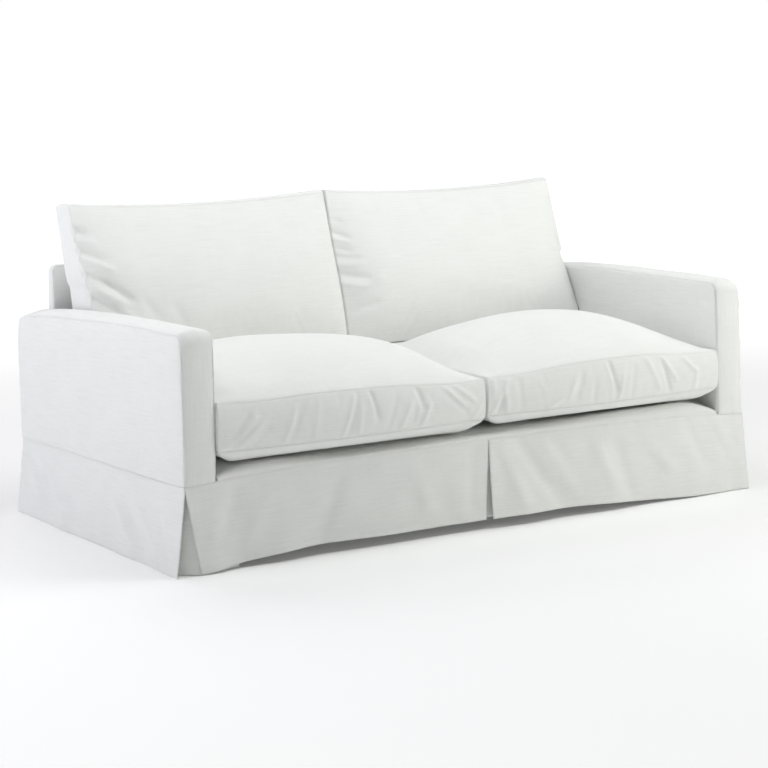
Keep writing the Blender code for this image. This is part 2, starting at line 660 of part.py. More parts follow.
def cushion(name, top, base, outward, levels, origin):
    """A filled cushion: two faces and the boxing between their seams. outward is the
    step that a full bulge makes at each border point, and levels are the boxing's
    rows as (share of the way down, share of the bulge)."""
    rows, columns, _ = top.shape
    border = border_of(rows, columns)
    index = np.arange(rows * columns).reshape(rows, columns)
    under = rows * columns
    quads = np.stack([index[:-1, :-1], index[1:, :-1], index[1:, 1:], index[:-1, 1:]], -1)
    faces = [tuple(quad) for quad in quads.reshape(-1, 4)]
    faces += [tuple(quad[::-1] + under) for quad in quads.reshape(-1, 4)]
    points = [top.reshape(-1, 3), base.reshape(-1, 3)]
    rings = [[index[at] for at in border]]
    start = 2 * under
    for down, full in levels:
        ring = [mix(top[at], base[at], down) + outward[at] * full for at in border]
        points.append(np.array(ring))
        rings.append(list(range(start, start + len(border))))
        start += len(border)
    rings.append([index[at] + under for at in border])
    count = len(border)
    for upper, lower in zip(rings[:-1], rings[1:]):
        for k in range(count):
            after = (k + 1) % count
            faces.append((upper[k], lower[k], lower[after], upper[after]))
    return solid(name, np.concatenate(points), faces, origin)


BOXING_LEVELS = ((0.12, 0.62), (0.38, 1.0), (0.66, 0.95), (0.90, 0.52))


def seat_cushion(side):
    across = np.array((0, 0.03, 0.08, 0.15, 0.24, 0.35, 0.46, 0.57, 0.68, 0.78, 0.87, 0.94, 0.975, 1))
    along = np.array((0, 0.03, 0.08, 0.16, 0.27, 0.38, 0.48, 0.57, 0.65, 0.73, 0.85, 0.97, 1))
    u, v = across[:, None], along[None, :]
    word = SIDE_WORD[side]

    def edges(z):
        outer = side * (inner_x(side, z) - CUSHION_CLEARANCE)
        inner = side * CUSHION_HALF_GAP
        return (outer, inner) if side == LEFT else (inner, outer)

    seam = mix(curve(SEAT_TOP_SEAM[side], u), SEAT_REAR_SEAM_Z, v)
    crown = curve(SEAT_CROWN_ACROSS[side], u) * curve(SEAT_CROWN_ALONG, v)
    x_left, x_right = edges(seam)
    bow = SEAT_FRONT_BOW * np.sin(u * math.pi)
    y = mix(SEAT_FRONT_Y - bow, SEAT_REAR_TOP_Y, v)
    top = grid_of(mix(x_left, x_right, u), y, seam + SEAT_CROWN[side] * crown)

    from_side = np.minimum(u, 1 - u) * HALF_WIDTH / SEAT_BASE_SIDE_BORDER
    from_front = np.minimum(v, 1 - v) * 2 * abs(FRONT_Y) / SEAT_BASE_FRONT_BORDER
    drop = np.sin(np.clip(np.minimum(from_side, from_front), 0, 1) * math.pi / 2)
    low_seam, base_z = SEAT_LOW_SEAM_Z[side], SEAT_BASE_Z[side]
    x_left, x_right = edges(low_seam)
    y = mix(SEAT_FRONT_Y - bow, SEAT_REAR_LOW_Y, v)
    rests = np.clip((v - SEAT_RESTS_FROM) / (SEAT_RESTS_BY - SEAT_RESTS_FROM), 0, 1)
    z = mix(low_seam, mix(base_z, DECK_Z + SEAM_CLEARANCE, rests), drop)
    base = grid_of(mix(x_left, x_right, u), y, z)

    outward = np.zeros_like(top)
    fold = np.zeros_like(across)
    for at, half, depth, _ in SEAT_BOXING_FOLDS[side]:
        fold = fold + depth * bump((across - at) * HALF_WIDTH, half)
    outward[:, 0, 1] = -(SEAT_FRONT_BULGE - fold)
    outward[:, -1, 1] = SEAT_REAR_BULGE
    place = (side * HALF_WIDTH / 2, 0, base_z)
    cushion("seat_cushion_" + word, top, base, outward, BOXING_LEVELS, place)


def back_cushion(side):
    across = np.array((0, 0.03, 0.08, 0.15, 0.24, 0.36, 0.5, 0.64, 0.76, 0.85, 0.92, 0.97, 1))
    up = np.array((0, 0.04, 0.12, 0.22, 0.34, 0.46, 0.58, 0.70, 0.82, 0.92, 0.97, 1))
    u, v = across[:, None], up[None, :]
    low, high = BACK_ROWS[0][0], BACK_ROWS[-1][0]
    outer_u = 1 - u if side == LEFT else u
    z = mix(low, high, v)
    dip = BACK_TOP_DIP * np.sin(u * math.pi) ** 0.8 * v**3
    half = curve(column(BACK_ROWS, 5), z)
    between_arms = inner_x(side, z) - CUSHION_CLEARANCE
    half = np.where(z < BACK_OVER_ARM_Z, np.minimum(half, between_arms), half)
    x = side * mix(CUSHION_HALF_GAP, half, outer_u)

    crown = curve(BACK_CROWN_ACROSS, u) * curve(BACK_CROWN_UP, v)
    crease = np.zeros_like(crown)
    for at, half_height, length, depth, fall in BACK_CREASES:
        inward = (1 - outer_u) / length
        line = at - fall * inward
        crease = crease + depth * bump(v - line, half_height * 2) * bump(inward - 0.5, 0.5)
    push = BACK_FRONT_CROWN * crown - crease * (crown > 0)
    lean = math.atan2(BACK_ROWS[-1][1] - BACK_ROWS[0][1], high - low)
    outer_y = curve(column(BACK_ROWS, 1 if side == LEFT else 2), z)
    front_y = mix(curve(column(BACK_ROWS, 3), z), outer_y, outer_u)
    front = grid_of(x, front_y - math.cos(lean) * push, z - dip + math.sin(lean) * push)

    push = BACK_REAR_CROWN * curve(BACK_CROWN_ACROSS, u) * curve(BACK_REAR_CROWN_UP, v)
    rear_y = curve(column(BACK_ROWS, 4), z)
    rear = grid_of(x, rear_y + push, z - dip - BACK_REAR_TOP_DROP * v)

    outward = np.zeros_like(front)
    outward[:, -1, 2] = BACK_TOP_BULGE
    outward[:, 0, 2] = -BACK_LOW_BULGE[side]
    place = (side * HALF_WIDTH / 2, BACK_ROWS[0][1], low)
    cushion("back_cushion_" + SIDE_WORD[side], front, rear, outward, BOXING_LEVELS, place)


def main():
    for obj in list(bpy.data.objects):
        bpy.data.objects.remove(obj, do_unlink=True)
    for side in (LEFT, RIGHT):
        arm_outer(side)
        arm_inner(side)
        arm_band(side)
        skirt_front(side)
        skirt_side(side)
        seat_cushion(side)
        back_cushion(side)
        for end in (-1.0, 1.0):
            underlay_corner(side, end)
    back_outer()
    back_inner()
    back_band()
    deck()
    skirt_back()
    underlay_centre()


main()
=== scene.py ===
"""Dressed model of a fitted slipcover for a wide two-cushion seat.

Metres, +Z up, the front faces -Y. Each cloth panel is drawn as its outer face between
its seam lines, finely enough for its folds, rolled in at its seams and given its
thickness inwards. The four filled cushions are puffed up by a cloth simulation and
then creased where the real ones are. Every piece stands for the solid of the same name.
"""

import logging
import math
from dataclasses import dataclass
from enum import Enum
from typing import Iterable, Optional, Sequence, Union

import bpy
import numpy as np
from mathutils import Matrix, Vector, kdtree


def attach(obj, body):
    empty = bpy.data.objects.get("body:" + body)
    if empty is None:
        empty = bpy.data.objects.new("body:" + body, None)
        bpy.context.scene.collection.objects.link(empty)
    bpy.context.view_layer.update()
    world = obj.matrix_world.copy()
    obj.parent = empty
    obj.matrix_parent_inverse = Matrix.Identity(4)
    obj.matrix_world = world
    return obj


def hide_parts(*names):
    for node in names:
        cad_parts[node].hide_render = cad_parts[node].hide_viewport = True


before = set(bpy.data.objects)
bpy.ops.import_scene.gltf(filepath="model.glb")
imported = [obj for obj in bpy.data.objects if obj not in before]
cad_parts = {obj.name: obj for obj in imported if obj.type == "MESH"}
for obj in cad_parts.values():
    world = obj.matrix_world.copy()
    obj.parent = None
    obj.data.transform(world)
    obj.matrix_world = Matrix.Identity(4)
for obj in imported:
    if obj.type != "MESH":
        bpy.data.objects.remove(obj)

LOG = logging.getLogger("slipcover")

Rows = Sequence[Sequence[float]]
Grid = np.ndarray
Number = Union[float, np.ndarray]
Place = tuple[float, float, float]
Colour = tuple[float, float, float, float]

BODY = "root"
# How far from a seam a panel has rows of points, in metres.
SEAM_STATIONS = (0.0, 0.0008, 0.0019, 0.0036, 0.0065, 0.0115)
# The shortest and the longest wave of an uneven surface, as shares of its size.
WAVES = (0.7, 1.5)


class Side(Enum):
    """Which end of the seat a piece belongs to, as the sign of its x."""

    LEFT = -1.0
    RIGHT = 1.0

    @property
    def word(self) -> str:
        """The side's name as used in the names of pieces."""
        return "left" if self is Side.LEFT else "right"


class Edge(Enum):
    """How a panel's edge is finished."""

    CORNER = "sewn to a panel that turns away"
    FLAT = "sewn to a panel in the same plane"
    LAPPED = "turned under over the edge of a panel that turns away"
    HEM = "free, folded and stitched"


SEWN = (Edge.CORNER,) * 4
HUNG = (Edge.FLAT, Edge.HEM, Edge.HEM, Edge.HEM)


class Slot(Enum):
    """Names of material slots."""

    COVER = "cloth"
    CUSHION = "cushion_cloth"


def curve(rows: Rows, place: Number) -> np.ndarray:
    """A smooth line through a table.

    Args:
        rows: (place, value) rows, in order of place.
        place: where to read the line.

    Returns:
        The values there.
    """
    at, value = np.array([row[:2] for row in rows], float).T
    slope = np.gradient(value, at)
    place = np.clip(place, at[0], at[-1])
    i = np.clip(np.searchsorted(at, place) - 1, 0, len(at) - 2)
    step = at[i + 1] - at[i]
    t = (place - at[i]) / step
    near = (1 + 2 * t) * (1 - t) ** 2 * value[i] + t * (1 - t) ** 2 * step * slope[i]
    far = t**2 * (3 - 2 * t) * value[i + 1] - t**2 * (1 - t) * step * slope[i + 1]
    return near + far


def column(rows: Rows, number: int) -> list[tuple[float, float]]:
    """A table's first column with another of its columns beside it."""
    return [(row[0], row[number]) for row in rows]


def mix(a: Number, b: Number, t: Number) -> Number:
    """The value a share t of the way from a to b."""
    return a + (b - a) * t


def bump(distance: Number, half: Number) -> np.ndarray:
    """1 on a fold's line, falling softly to 0 beyond its half width."""
    return np.exp(-((distance / half) ** 2))


def ease(t: Number) -> np.ndarray:
    """A share from 0 to 1 with soft ends."""
    t = np.clip(t, 0.0, 1.0)
    return t * t * (3 - 2 * t)


def stations(length: float, step: float, sewn: tuple[bool, bool] = (True, True)) -> np.ndarray:
    """Shares along a panel, close together beside its seams.

    Args:
        length: the panel's length there, in metres.
        step: spacing away from the seams, in metres.
        sewn: whether the first and the last end have close stations.

    Returns:
        Shares from 0 to 1.
    """
    near = np.array(SEAM_STATIONS) / length
    first = near if sewn[0] else near[:1]
    last = near if sewn[1] else near[:1]
    count = max(2, round((1 - first[-1] - last[-1]) * length / step))
    middle = np.linspace(first[-1], 1 - last[-1], count + 1)
    return np.concatenate([first[:-1], middle, 1 - last[:-1][::-1]])


def ripple(points: np.ndarray, size: float, seed: int, waves: int = 7) -> np.ndarray:
    """Smooth unevenness between about -1 and 1, the same on each run.

    Args:
        points: places, the last axis is x, y and z.
        size: rough distance from one swell to the next.
        seed: picks one pattern.
        waves: how many waves are added up.

    Returns:
        One value for each place.
    """
    rng = np.random.default_rng(seed)
    total = np.zeros(points.shape[:-1])
    for _ in range(waves):
        direction = rng.normal(size=3)
        direction *= 2 * math.pi / (size * rng.uniform(*WAVES) * np.linalg.norm(direction))
        total += np.sin(points @ direction + rng.uniform(0, 2 * math.pi))
    return total / math.sqrt(waves)


def grid_of(x: Number, y: Number, z: Number) -> Grid:
    """Three coordinates as one grid of points."""
    return np.stack(np.broadcast_arrays(x, y, z), -1).astype(float)


def cells_of(rows: int, columns: int) -> np.ndarray:
    """Point numbers of the four corners of each of a grid's cells."""
    index = np.arange(rows * columns).reshape(rows, columns)
    return np.stack([index[:-1, :-1], index[1:, :-1], index[1:, 1:], index[:-1, 1:]], -1)


def nearest_of(points: np.ndarray, marks: Iterable[int]) -> tuple[np.ndarray, np.ndarray]:
    """Each point's distance from the nearest of some of the points, and that one's number.

    Args:
        points: all the points.
        marks: numbers of the points to measure from.

    Returns:
        The distances, and the numbers of the nearest marks.
    """
    marks = list(marks)
    tree = kdtree.KDTree(len(marks))
    for index in marks:
        tree.insert(points[index], int(index))
    tree.balance()
    found = [tree.find(point) for point in points]
    return np.array([row[2] for row in found]), np.array([row[1] for row in found])


def facing(points: np.ndarray, quads: np.ndarray) -> np.ndarray:
    """Each four-sided face's normal, as long as twice its area."""
    a, b, c, d = (points[quads[:, k]] for k in range(4))
    return np.cross(c - a, d - b)


def normals_of(points: np.ndarray, quads: np.ndarray) -> np.ndarray:
    """Each point's normal, where larger faces count for more.

    Args:
        points: a surface's points.
        quads: point numbers of its four-sided faces.

    Returns:
        Unit vectors, or nothing where a point has no face.
    """
    face = facing(points, quads)
    normal = np.zeros_like(points)
    for k in range(4):
        np.add.at(normal, quads[:, k], face)
    length = np.linalg.norm(normal, axis=1, keepdims=True)
    return normal / np.where(length > 0, length, 1)


def border_of(quads: np.ndarray) -> list[tuple[int, int]]:
    """The cell edges with a cell on one side alone.

    Args:
        quads: point numbers of a grid's cells.

    Returns:
        Pairs of points, in the direction of their cell, in order.
    """
    ends = np.concatenate([quads[:, [k, (k + 1) % 4]] for k in range(4)])
    pairs = {(int(p), int(q)) for p, q in ends}
    return sorted(pair for pair in pairs if pair[::-1] not in pairs)


@dataclass(frozen=True)
class Fold:
    """One soft fold or trough of a flat panel, drawn as a line between two places.

    Places are (a, b) pairs in the panel's own two main directions. A positive depth
    stands out and a negative one goes in.
    """

    start: tuple[float, float]
    end: tuple[float, float]
    half: float
    depth: float

    # How softly a fold ends, as a share of its half width, and its depth at its ends.
    RUN_OUT = 1.6
    END_DEPTH = 0.75

    def relief(self, a: np.ndarray, b: np.ndarray) -> np.ndarray:
        """How far the fold moves the cloth at each place.

        Args:
            a: the places' first coordinates.
            b: their second coordinates.

        Returns:
            Distances, positive outwards.
        """
        along = np.array(self.end) - np.array(self.start)
        length = float(np.hypot(*along))
        unit = along / length
        s = (a - self.start[0]) * unit[0] + (b - self.start[1]) * unit[1]
        d = (b - self.start[1]) * unit[0] - (a - self.start[0]) * unit[1]
        past = np.maximum(np.maximum(-s, s - length), 0)
        middle = mix(self.END_DEPTH, 1.0, np.cos((s / length - 0.5) * math.pi))
        return self.depth * bump(d, self.half) * bump(past, self.half * self.RUN_OUT) * middle


@dataclass(frozen=True)
class Folds:
    """A panel's folds. Rows: both ends as a, b pairs, half width and depth in millimetres."""

    rows: Rows

    def relief(
        self, a: np.ndarray, b: np.ndarray, size: tuple[float, float] = (1.0, 1.0)
    ) -> np.ndarray:
        """How far all the folds move the cloth.

        Args:
            a: the places' first coordinates.
            b: their second coordinates.
            size: what the folds' own coordinates are shares of, in metres.

        Returns:
            Distances, positive outwards.
        """
        total = np.zeros(np.broadcast_shapes(a.shape, b.shape))
        for a0, b0, a1, b1, half, depth in self.rows:
            ends = (a0 * size[0], b0 * size[1]), (a1 * size[0], b1 * size[1])
            total = total + Fold(*ends, half / 1000, depth / 1000).relief(a, b)
        return total


@dataclass(frozen=True)
class Relief:
    """The small unevenness of a cloth panel beside its seams and over its face."""

    roll: float = 0.0020
    roll_width: float = 0.0022
    flat_roll: float = 0.15
    soft: float = 0.0
    swell: float = 0.45
    soft_width: float = 0.018
    pucker: float = 0.0006
    pucker_width: float = 0.014
    pucker_size: float = 0.022
    rumple: float = 0.0008
    rumple_size: float = 0.16
    held_share: float = 0.25
    seed: int = 1

    def offset(self, points: np.ndarray, seam: np.ndarray, turn: np.ndarray) -> np.ndarray:
        """How far outwards each point moves.

        Args:
            points: the panel's points.
            seam: each point's distance from the nearest seam.
            turn: its distance from the nearest seam where the cover turns a corner.

        Returns:
            Distances along the panel's normals.
        """
        near = bump(seam, self.pucker_width) * (1 - bump(seam, self.roll_width))
        pucker = self.pucker * near * ripple(points, self.pucker_size, self.seed + 11)
        free = 1 - bump(seam, self.rumple_size * self.held_share)
        rumple = self.rumple * free * ripple(points, self.rumple_size, self.seed + 23)
        soft = self.soft * (self.swell - np.exp(-turn / self.soft_width))
        return pucker + rumple + soft


@dataclass
class Panel:
    """One cloth panel, ready to be made into a thin closed sheet.

    Edges are given for the grid's first row, last row, first column and last column.
    """

    node: str
    grid: Grid
    outward: Place
    relief: Relief
    edges: tuple[Edge, ...] = SEWN
    folds: Optional[np.ndarray] = None
    keep: Optional[np.ndarray] = None
    slubs_along_rows: bool = True
    thickness: float = 0.0028
    # How far the painted shade beside a seam reaches, and how strong it is at flat seams.
    shadow_width: float = 0.0022
    flat_shadow: float = 0.35
    face: Optional[np.ndarray] = None

    def quads(self) -> np.ndarray:
        """Point numbers of the grid's cells, in rows."""
        cells = cells_of(*self.grid.shape[:2])
        return cells.reshape(-1, 4) if self.keep is None else cells[self.keep]

    def lengths(self) -> tuple[np.ndarray, np.ndarray]:
        """Distance of each point along its column and along its row, in metres.

        Returns:
            Two grids of distances, from the first row and from the first column.
        """
        down = np.linalg.norm(np.diff(self.grid, axis=0), axis=-1)
        along = np.linalg.norm(np.diff(self.grid, axis=1), axis=-1)
        first = np.vstack([np.zeros((1, self.grid.shape[1])), np.cumsum(down, 0)])
        second = np.hstack([np.zeros((self.grid.shape[0], 1)), np.cumsum(along, 1)])
        return first, second

    def flat(self) -> tuple[float, float]:
        """The panel's cut size between its seam lines and hems, in metres."""
        first, second = self.lengths()
        return round(float(second[:, -1].mean()), 3), round(float(first[-1].mean()), 3)

    def edge_of(self, start: int, end: int) -> Edge:
        """The finish of the border cell edge between two grid points.

        Args:
            start: one point's number.
            end: the other's.

        Returns:
            The finish, which is a sewn corner inside the grid.
        """
        rows, columns, _ = self.grid.shape
        (i, j), (k, l) = divmod(start, columns), divmod(end, columns)
        tests = (i == k == 0, i == k == rows - 1, j == l == 0, j == l == columns - 1)
        return next((edge for edge, met in zip(self.edges, tests) if met), Edge.CORNER)

    def build(self) -> bpy.types.Object:
        """Makes the sheet.

        Returns:
            A closed mesh object with a UV map in metres and a seam attribute that sets painted
            shade beside the seams.
        """
        points, quads = self.grid.reshape(-1, 3), self.quads()
        if facing(points, quads).sum(0) @ np.array(self.outward) < 0:
            quads = quads[:, ::-1]
        normal, border = normals_of(points, quads), border_of(quads)
        shift, kinds = self.border_shift(points, normal, border)
        seam, nearest = nearest_of(points, kinds)
        corners = [k for k, kind in kinds.items() if kind is Edge.CORNER]
        turn = nearest_of(points, corners or kinds)[0]

        relief = self.relief
        move = relief.offset(points, seam, turn)
        if self.folds is not None:
            move = move + self.folds.reshape(-1)
        corner = np.array([kinds[int(n)] is Edge.CORNER for n in nearest])
        flat = np.array([kinds[int(n)] in (Edge.FLAT, Edge.LAPPED) for n in nearest])
        roll = relief.roll * bump(seam, relief.roll_width) * np.where(flat, relief.flat_roll, 1.0)
        outer = points + normal * (move - roll)[:, None]
        outer += shift[nearest] * (roll * corner)[:, None]
        free = np.array([kinds.get(k) is Edge.HEM for k in range(len(points))])
        inner_shift = np.where(free[:, None], 0.0, shift)
        inner = points + normal * (move - self.thickness)[:, None] + self.thickness * inner_shift
        self.face = outer.reshape(self.grid.shape)
        # Painted shade beside the seams: strongest at corner seams, weaker at flat ones.
        line = np.exp(-seam / self.shadow_width) * (self.flat_shadow * flat + corner)
        return self.closed(outer, inner, line, quads, border)

    def closed(
        self,
        outer: np.ndarray,
        inner: np.ndarray,
        line: np.ndarray,
        quads: np.ndarray,
        border: list[tuple[int, int]],
    ) -> bpy.types.Object:
        """Joins the two faces of the sheet along its border.

        Args:
            outer: the points of the outer face.
            inner: the points of the inner face.
            line: how near each is to a seam, 1 on it and 0 away from it, which sets painted shade
                there.
            quads: point numbers of the outer face's cells.
            border: the border's cell edges.

        Returns:
            The closed mesh object.
        """
        used = np.zeros(len(outer), bool)
        used[quads.reshape(-1)] = True
        number, under = np.cumsum(used) - 1, int(used.sum())
        faces = [tuple(number[q]) for q in quads]
        faces += [tuple(number[q[::-1]] + under) for q in quads]
        faces += [(number[p], number[p] + under, number[q] + under, number[q]) for p, q in border]
        across, along = (distance.reshape(-1)[used] for distance in self.lengths())
        flat = (along, across) if self.slubs_along_rows else (across, along)
        uv = np.tile(np.stack(flat, -1), (2, 1))
        both = np.concatenate([outer[used], inner[used]])
        return Workroom.mesh("cloth_" + self.node, both, faces, uv, np.tile(line[used], 2))

    def border_shift(
        self, points: np.ndarray, normal: np.ndarray, border: list[tuple[int, int]]
    ) -> tuple[np.ndarray, dict[int, Edge]]:
        """What the border needs.

        Args:
            points: the panel's points.
            normal: their normals.
            border: the border's cell edges.

        Returns:
            For each point the step that moves its edges one unit into the cloth, and
            how the edge at each border point is finished.
        """
        steps: dict[int, list[np.ndarray]] = {}
        kinds: dict[int, Edge] = {}
        for start, end in border:
            step = np.cross(normal[start] + normal[end], points[end] - points[start])
            step = step / np.linalg.norm(step)
            kind = self.edge_of(start, end)
            for point in (start, end):
                steps.setdefault(point, []).append(step)
                if kinds.get(point) is not Edge.CORNER:
                    kinds[point] = kind
        shift = np.zeros_like(points)
        for index, found in steps.items():
            shift[index] = (found[0] + found[-1]) / (1 + found[0] @ found[-1])
        return shift, kinds


class Workroom:
    """Makes meshes and dresses finished pieces, which ride with the cover."""

    @staticmethod
    def link(obj: bpy.types.Object) -> bpy.types.Object:
        """Puts an object into the scene."""
        bpy.context.scene.collection.objects.link(obj)
        return obj

    @staticmethod
    def mesh(
        name: str,
        points: np.ndarray,
        faces: list[tuple[int, ...]],
        uv: np.ndarray,
        seam: np.ndarray,
    ) -> bpy.types.Object:
        """A smooth mesh object at the origin.

        Args:
            name: the piece's name.
            points: its points.
            faces: point numbers of its faces.
            uv: one pair for each point, or one for each face corner.
            seam: one value for each point, 1 on a seam and 0 away from it, which sets painted shade
                beside the seams.

        Returns:
            The object, linked to the scene.
        """
        mesh = bpy.data.meshes.new(name)
        mesh.from_pydata(points.tolist(), [], [tuple(int(k) for k in face) for face in faces])
        layer = mesh.uv_layers.new(name="UVMap")
        corners = np.empty(len(mesh.loops), np.int32)
        mesh.loops.foreach_get("vertex_index", corners)
        flat = uv[corners] if len(uv) == len(points) else uv
        layer.data.foreach_set("uv", flat.reshape(-1).astype(np.float32))
        # The seam attribute carries the painted shade beside the seams.
        attribute = mesh.attributes.new("seam", "FLOAT", "POINT")
        attribute.data.foreach_set("value", seam.astype(np.float32))
        mesh.polygons.foreach_set("use_smooth", np.ones(len(mesh.polygons), bool))
        mesh.update()
        return Workroom.link(bpy.data.objects.new(name, mesh))

    @staticmethod
    def vectors(elements: bpy.types.bpy_prop_collection, key: str, width: int = 3) -> np.ndarray:
        """One property of every element, in rows of so many numbers.

        Args:
            elements: the points of a mesh, or an attribute's data.
            key: the property.
            width: how many numbers it has.

        Returns:
            One row for each element.
        """
        flat = np.empty(len(elements) * width, np.float32)
        elements.foreach_get(key, flat)
        return flat.reshape(-1, width).astype(float)

    @staticmethod
    def note(obj: bpy.types.Object, name: str, values: np.ndarray) -> None:
        """Keeps a value, or a vector, with each point of a mesh.

        Args:
            obj: the mesh object.
            name: what to keep the values as.
            values: one value or vector for each point.
        """
        kind, key = ("FLOAT_VECTOR", "vector") if values.ndim == 2 else ("FLOAT", "value")
        noted = obj.data.attributes.new(name, kind, "POINT")
        noted.data.foreach_set(key, values.reshape(-1).astype(np.float32))

    @staticmethod
    def noted(obj: bpy.types.Object, name: str) -> np.ndarray:
        """Reads what was kept with each point.

        Args:
            obj: the mesh object.
            name: what the values were kept as.

        Returns:
            One value or vector for each point.
        """
        kept = obj.data.attributes[name]
        if kept.data_type == "FLOAT_VECTOR":
            return Workroom.vectors(kept.data, "vector")
        return Workroom.vectors(kept.data, "value", 1)[:, 0]

    @staticmethod
    def points_of(obj: bpy.types.Object) -> np.ndarray:
        """A mesh object's own points."""
        return Workroom.vectors(obj.data.vertices, "co")

    @staticmethod
    def set_points(obj: bpy.types.Object, points: np.ndarray) -> None:
        """Moves a mesh object's own points."""
        obj.data.vertices.foreach_set("co", points.reshape(-1).astype(np.float32))
        obj.data.update()

    @staticmethod
    def bake(obj: bpy.types.Object) -> None:
        """Turns a mesh object's live modifiers into its mesh.

        Args:
            obj: the mesh object.
        """
        graph = bpy.context.evaluated_depsgraph_get()
        mesh = bpy.data.meshes.new_from_object(obj.evaluated_get(graph), depsgraph=graph)
        obj.modifiers.clear()
        old = obj.data
        obj.data = mesh
        bpy.data.meshes.remove(old)

    @staticmethod
    def refine(obj: bpy.types.Object) -> None:
        """One subdivision, applied.

        Args:
            obj: the mesh object.
        """
        smooth = obj.modifiers.new("smooth", "SUBSURF")
        smooth.levels = 1
        smooth.render_levels = 1
        smooth.boundary_smooth = "PRESERVE_CORNERS"
        Workroom.bake(obj)

    @staticmethod
    def hand_over(
        obj: bpy.types.Object, slot: Slot, material: bpy.types.Material, node: str = ""
    ) -> bpy.types.Object:
        """Dresses a piece, lets it ride with the cover and stand for its solid, if any.

        Args:
            obj: the piece.
            slot: its material slot; not used.
            material: its finish.
            node: the solid that it stands for, or nothing.

        Returns:
            The piece.
        """
        obj.data.materials.clear()
        obj.data.materials.append(material)
        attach(obj, BODY)
        if node:
            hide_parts(node)
        LOG.info("%s: %d faces", obj.name, len(obj.data.polygons))
        return obj


class Socket:
    """A shader socket that takes part in Python expressions."""

    def __init__(self, weave: "Nodes", link: bpy.types.NodeSocket) -> None:
        """Wraps an output socket of a tree."""
        self.weave = weave
        self.link = link

    def _math(self, operation: str, *values: "Socket | float") -> "Socket":
        """A Math node on these values."""
        return self.weave.node("ShaderNodeMath", {"operation": operation}, dict(enumerate(values)))

    def __add__(self, other: "Socket | float") -> "Socket":
        """Sum."""
        return self._math("ADD", self, other)

    __radd__ = __add__

    def __mul__(self, other: "Socket | float") -> "Socket":
        """Product."""
        return self._math("MULTIPLY", self, other)

    __rmul__ = __mul__

    def __sub__(self, other: "Socket | float") -> "Socket":
        """Difference."""
        return self._math("SUBTRACT", self, other)

    def __rsub__(self, other: "Socket | float") -> "Socket":
        """Difference, the other way round."""
        return self._math("SUBTRACT", other, self)

    def beside(self, output: str) -> "Socket":
        """Another output of the same node."""
        return Socket(self.weave, self.link.node.outputs[output])

    def wave(self) -> "Socket":
        """Sine."""
        return self._math("SINE", self)

    def clamp(self) -> "Socket":
        """Kept between 0 and 1."""
        return self._math("MINIMUM", self._math("MAXIMUM", self, 0.0), 1.0)


class Nodes:
    """A node tree of a material, a world or a modifier, built by one method."""

    def __init__(self, tree: bpy.types.NodeTree, shader: str = "") -> None:
        """Starts on a tree, whose shader, if it has one, has the given name."""
        self.tree = tree
        self.shader = tree.nodes[shader] if shader else None

    @classmethod
    def on(cls, owner: "bpy.types.Material | bpy.types.World", shader: str) -> "Nodes":
        """Starts on the tree that a material or a world comes with."""
        owner.use_nodes = True
        return cls(owner.node_tree, shader)

    def node(
        self, kind: str, settings: dict, values: dict, output: Union[int, str] = 0
    ) -> Socket:
        """Any node.

        Args:
            kind: the node's type.
            settings: its own settings, set first.
            values: its sockets' values or links, by name or number.
            output: which output is wanted.

        Returns:
            That output.
        """
        made = self.tree.nodes.new(kind)
        for key, value in settings.items():
            if key == "stops":
                for stop, (at, grey) in zip(made.color_ramp.elements, value):
                    stop.position = at
                    stop.color = (grey, grey, grey, 1.0)
            else:
                setattr(made, key, value)
        self.fill(made, values)
        return Socket(self, made.outputs[output])

    def fill(self, made: bpy.types.Node, values: dict) -> None:
        """Sets or links a node's sockets, given by name or number.

        Args:
            made: the node.
            values: values or links, by socket.
        """
        for key, value in values.items():
            if isinstance(value, Socket):
                self.tree.links.new(value.link, made.inputs[key])
            else:
                made.inputs[key].default_value = value

    def feed(self, values: dict) -> None:
        """Sets or links the shader's sockets."""
        self.fill(self.shader, values)

    def place(self, output: str) -> Socket:
        """Where the shaded point is."""
        return self.node("ShaderNodeTexCoord", {}, {}, output)

    def axis(self, vector: Socket, letter: str) -> Socket:
        """One coordinate of a vector."""
        return self.node("ShaderNodeSeparateXYZ", {}, {"Vector": vector}, letter)

    def noise(self, place: Socket, size: float, over: str = "3D", **values: float) -> Socket:
        """Noise with features of about this size, over a space or a plane.

        Args:
            place: where.
            size: the features' size.
            over: 3D or 2D.
            values: other values of the node.

        Returns:
            The noise, about 0 to 1.
        """
        settings = {"noise_dimensions": over}
        return self.node(
            "ShaderNodeTexNoise", settings, {"Vector": place, "Scale": 1 / size, **values}
        )

    def blend(self, share: Socket, first: Colour, second: Colour) -> Socket:
        """A colour between two others.

        Args:
            share: 0 for the first, 1 for the second.
            first: one colour.
            second: the other.

        Returns:
            The colour.
        """
        values = {0: share, 6: first, 7: second}
        return self.node("ShaderNodeMix", {"data_type": "RGBA"}, values, 2)

    def ramp(self, value: Socket, low: float, high: float) -> Socket:
        """0 up to the first stop and 1 from the second, in a straight line between them.

        Args:
            value: what is read.
            low: the first stop.
            high: the second stop.

        Returns:
            The share.
        """
        stops = {"stops": ((low, 0.0), (high, 1.0))}
        return self.node("ShaderNodeValToRGB", stops, {"Fac": value})

    def bumps(self, height: Socket, distance: float, strength: float) -> Socket:
        """Normals that follow a height."""
        values = {"Height": height, "Distance": distance, "Strength": strength}
        return self.node("ShaderNodeBump", {}, values)


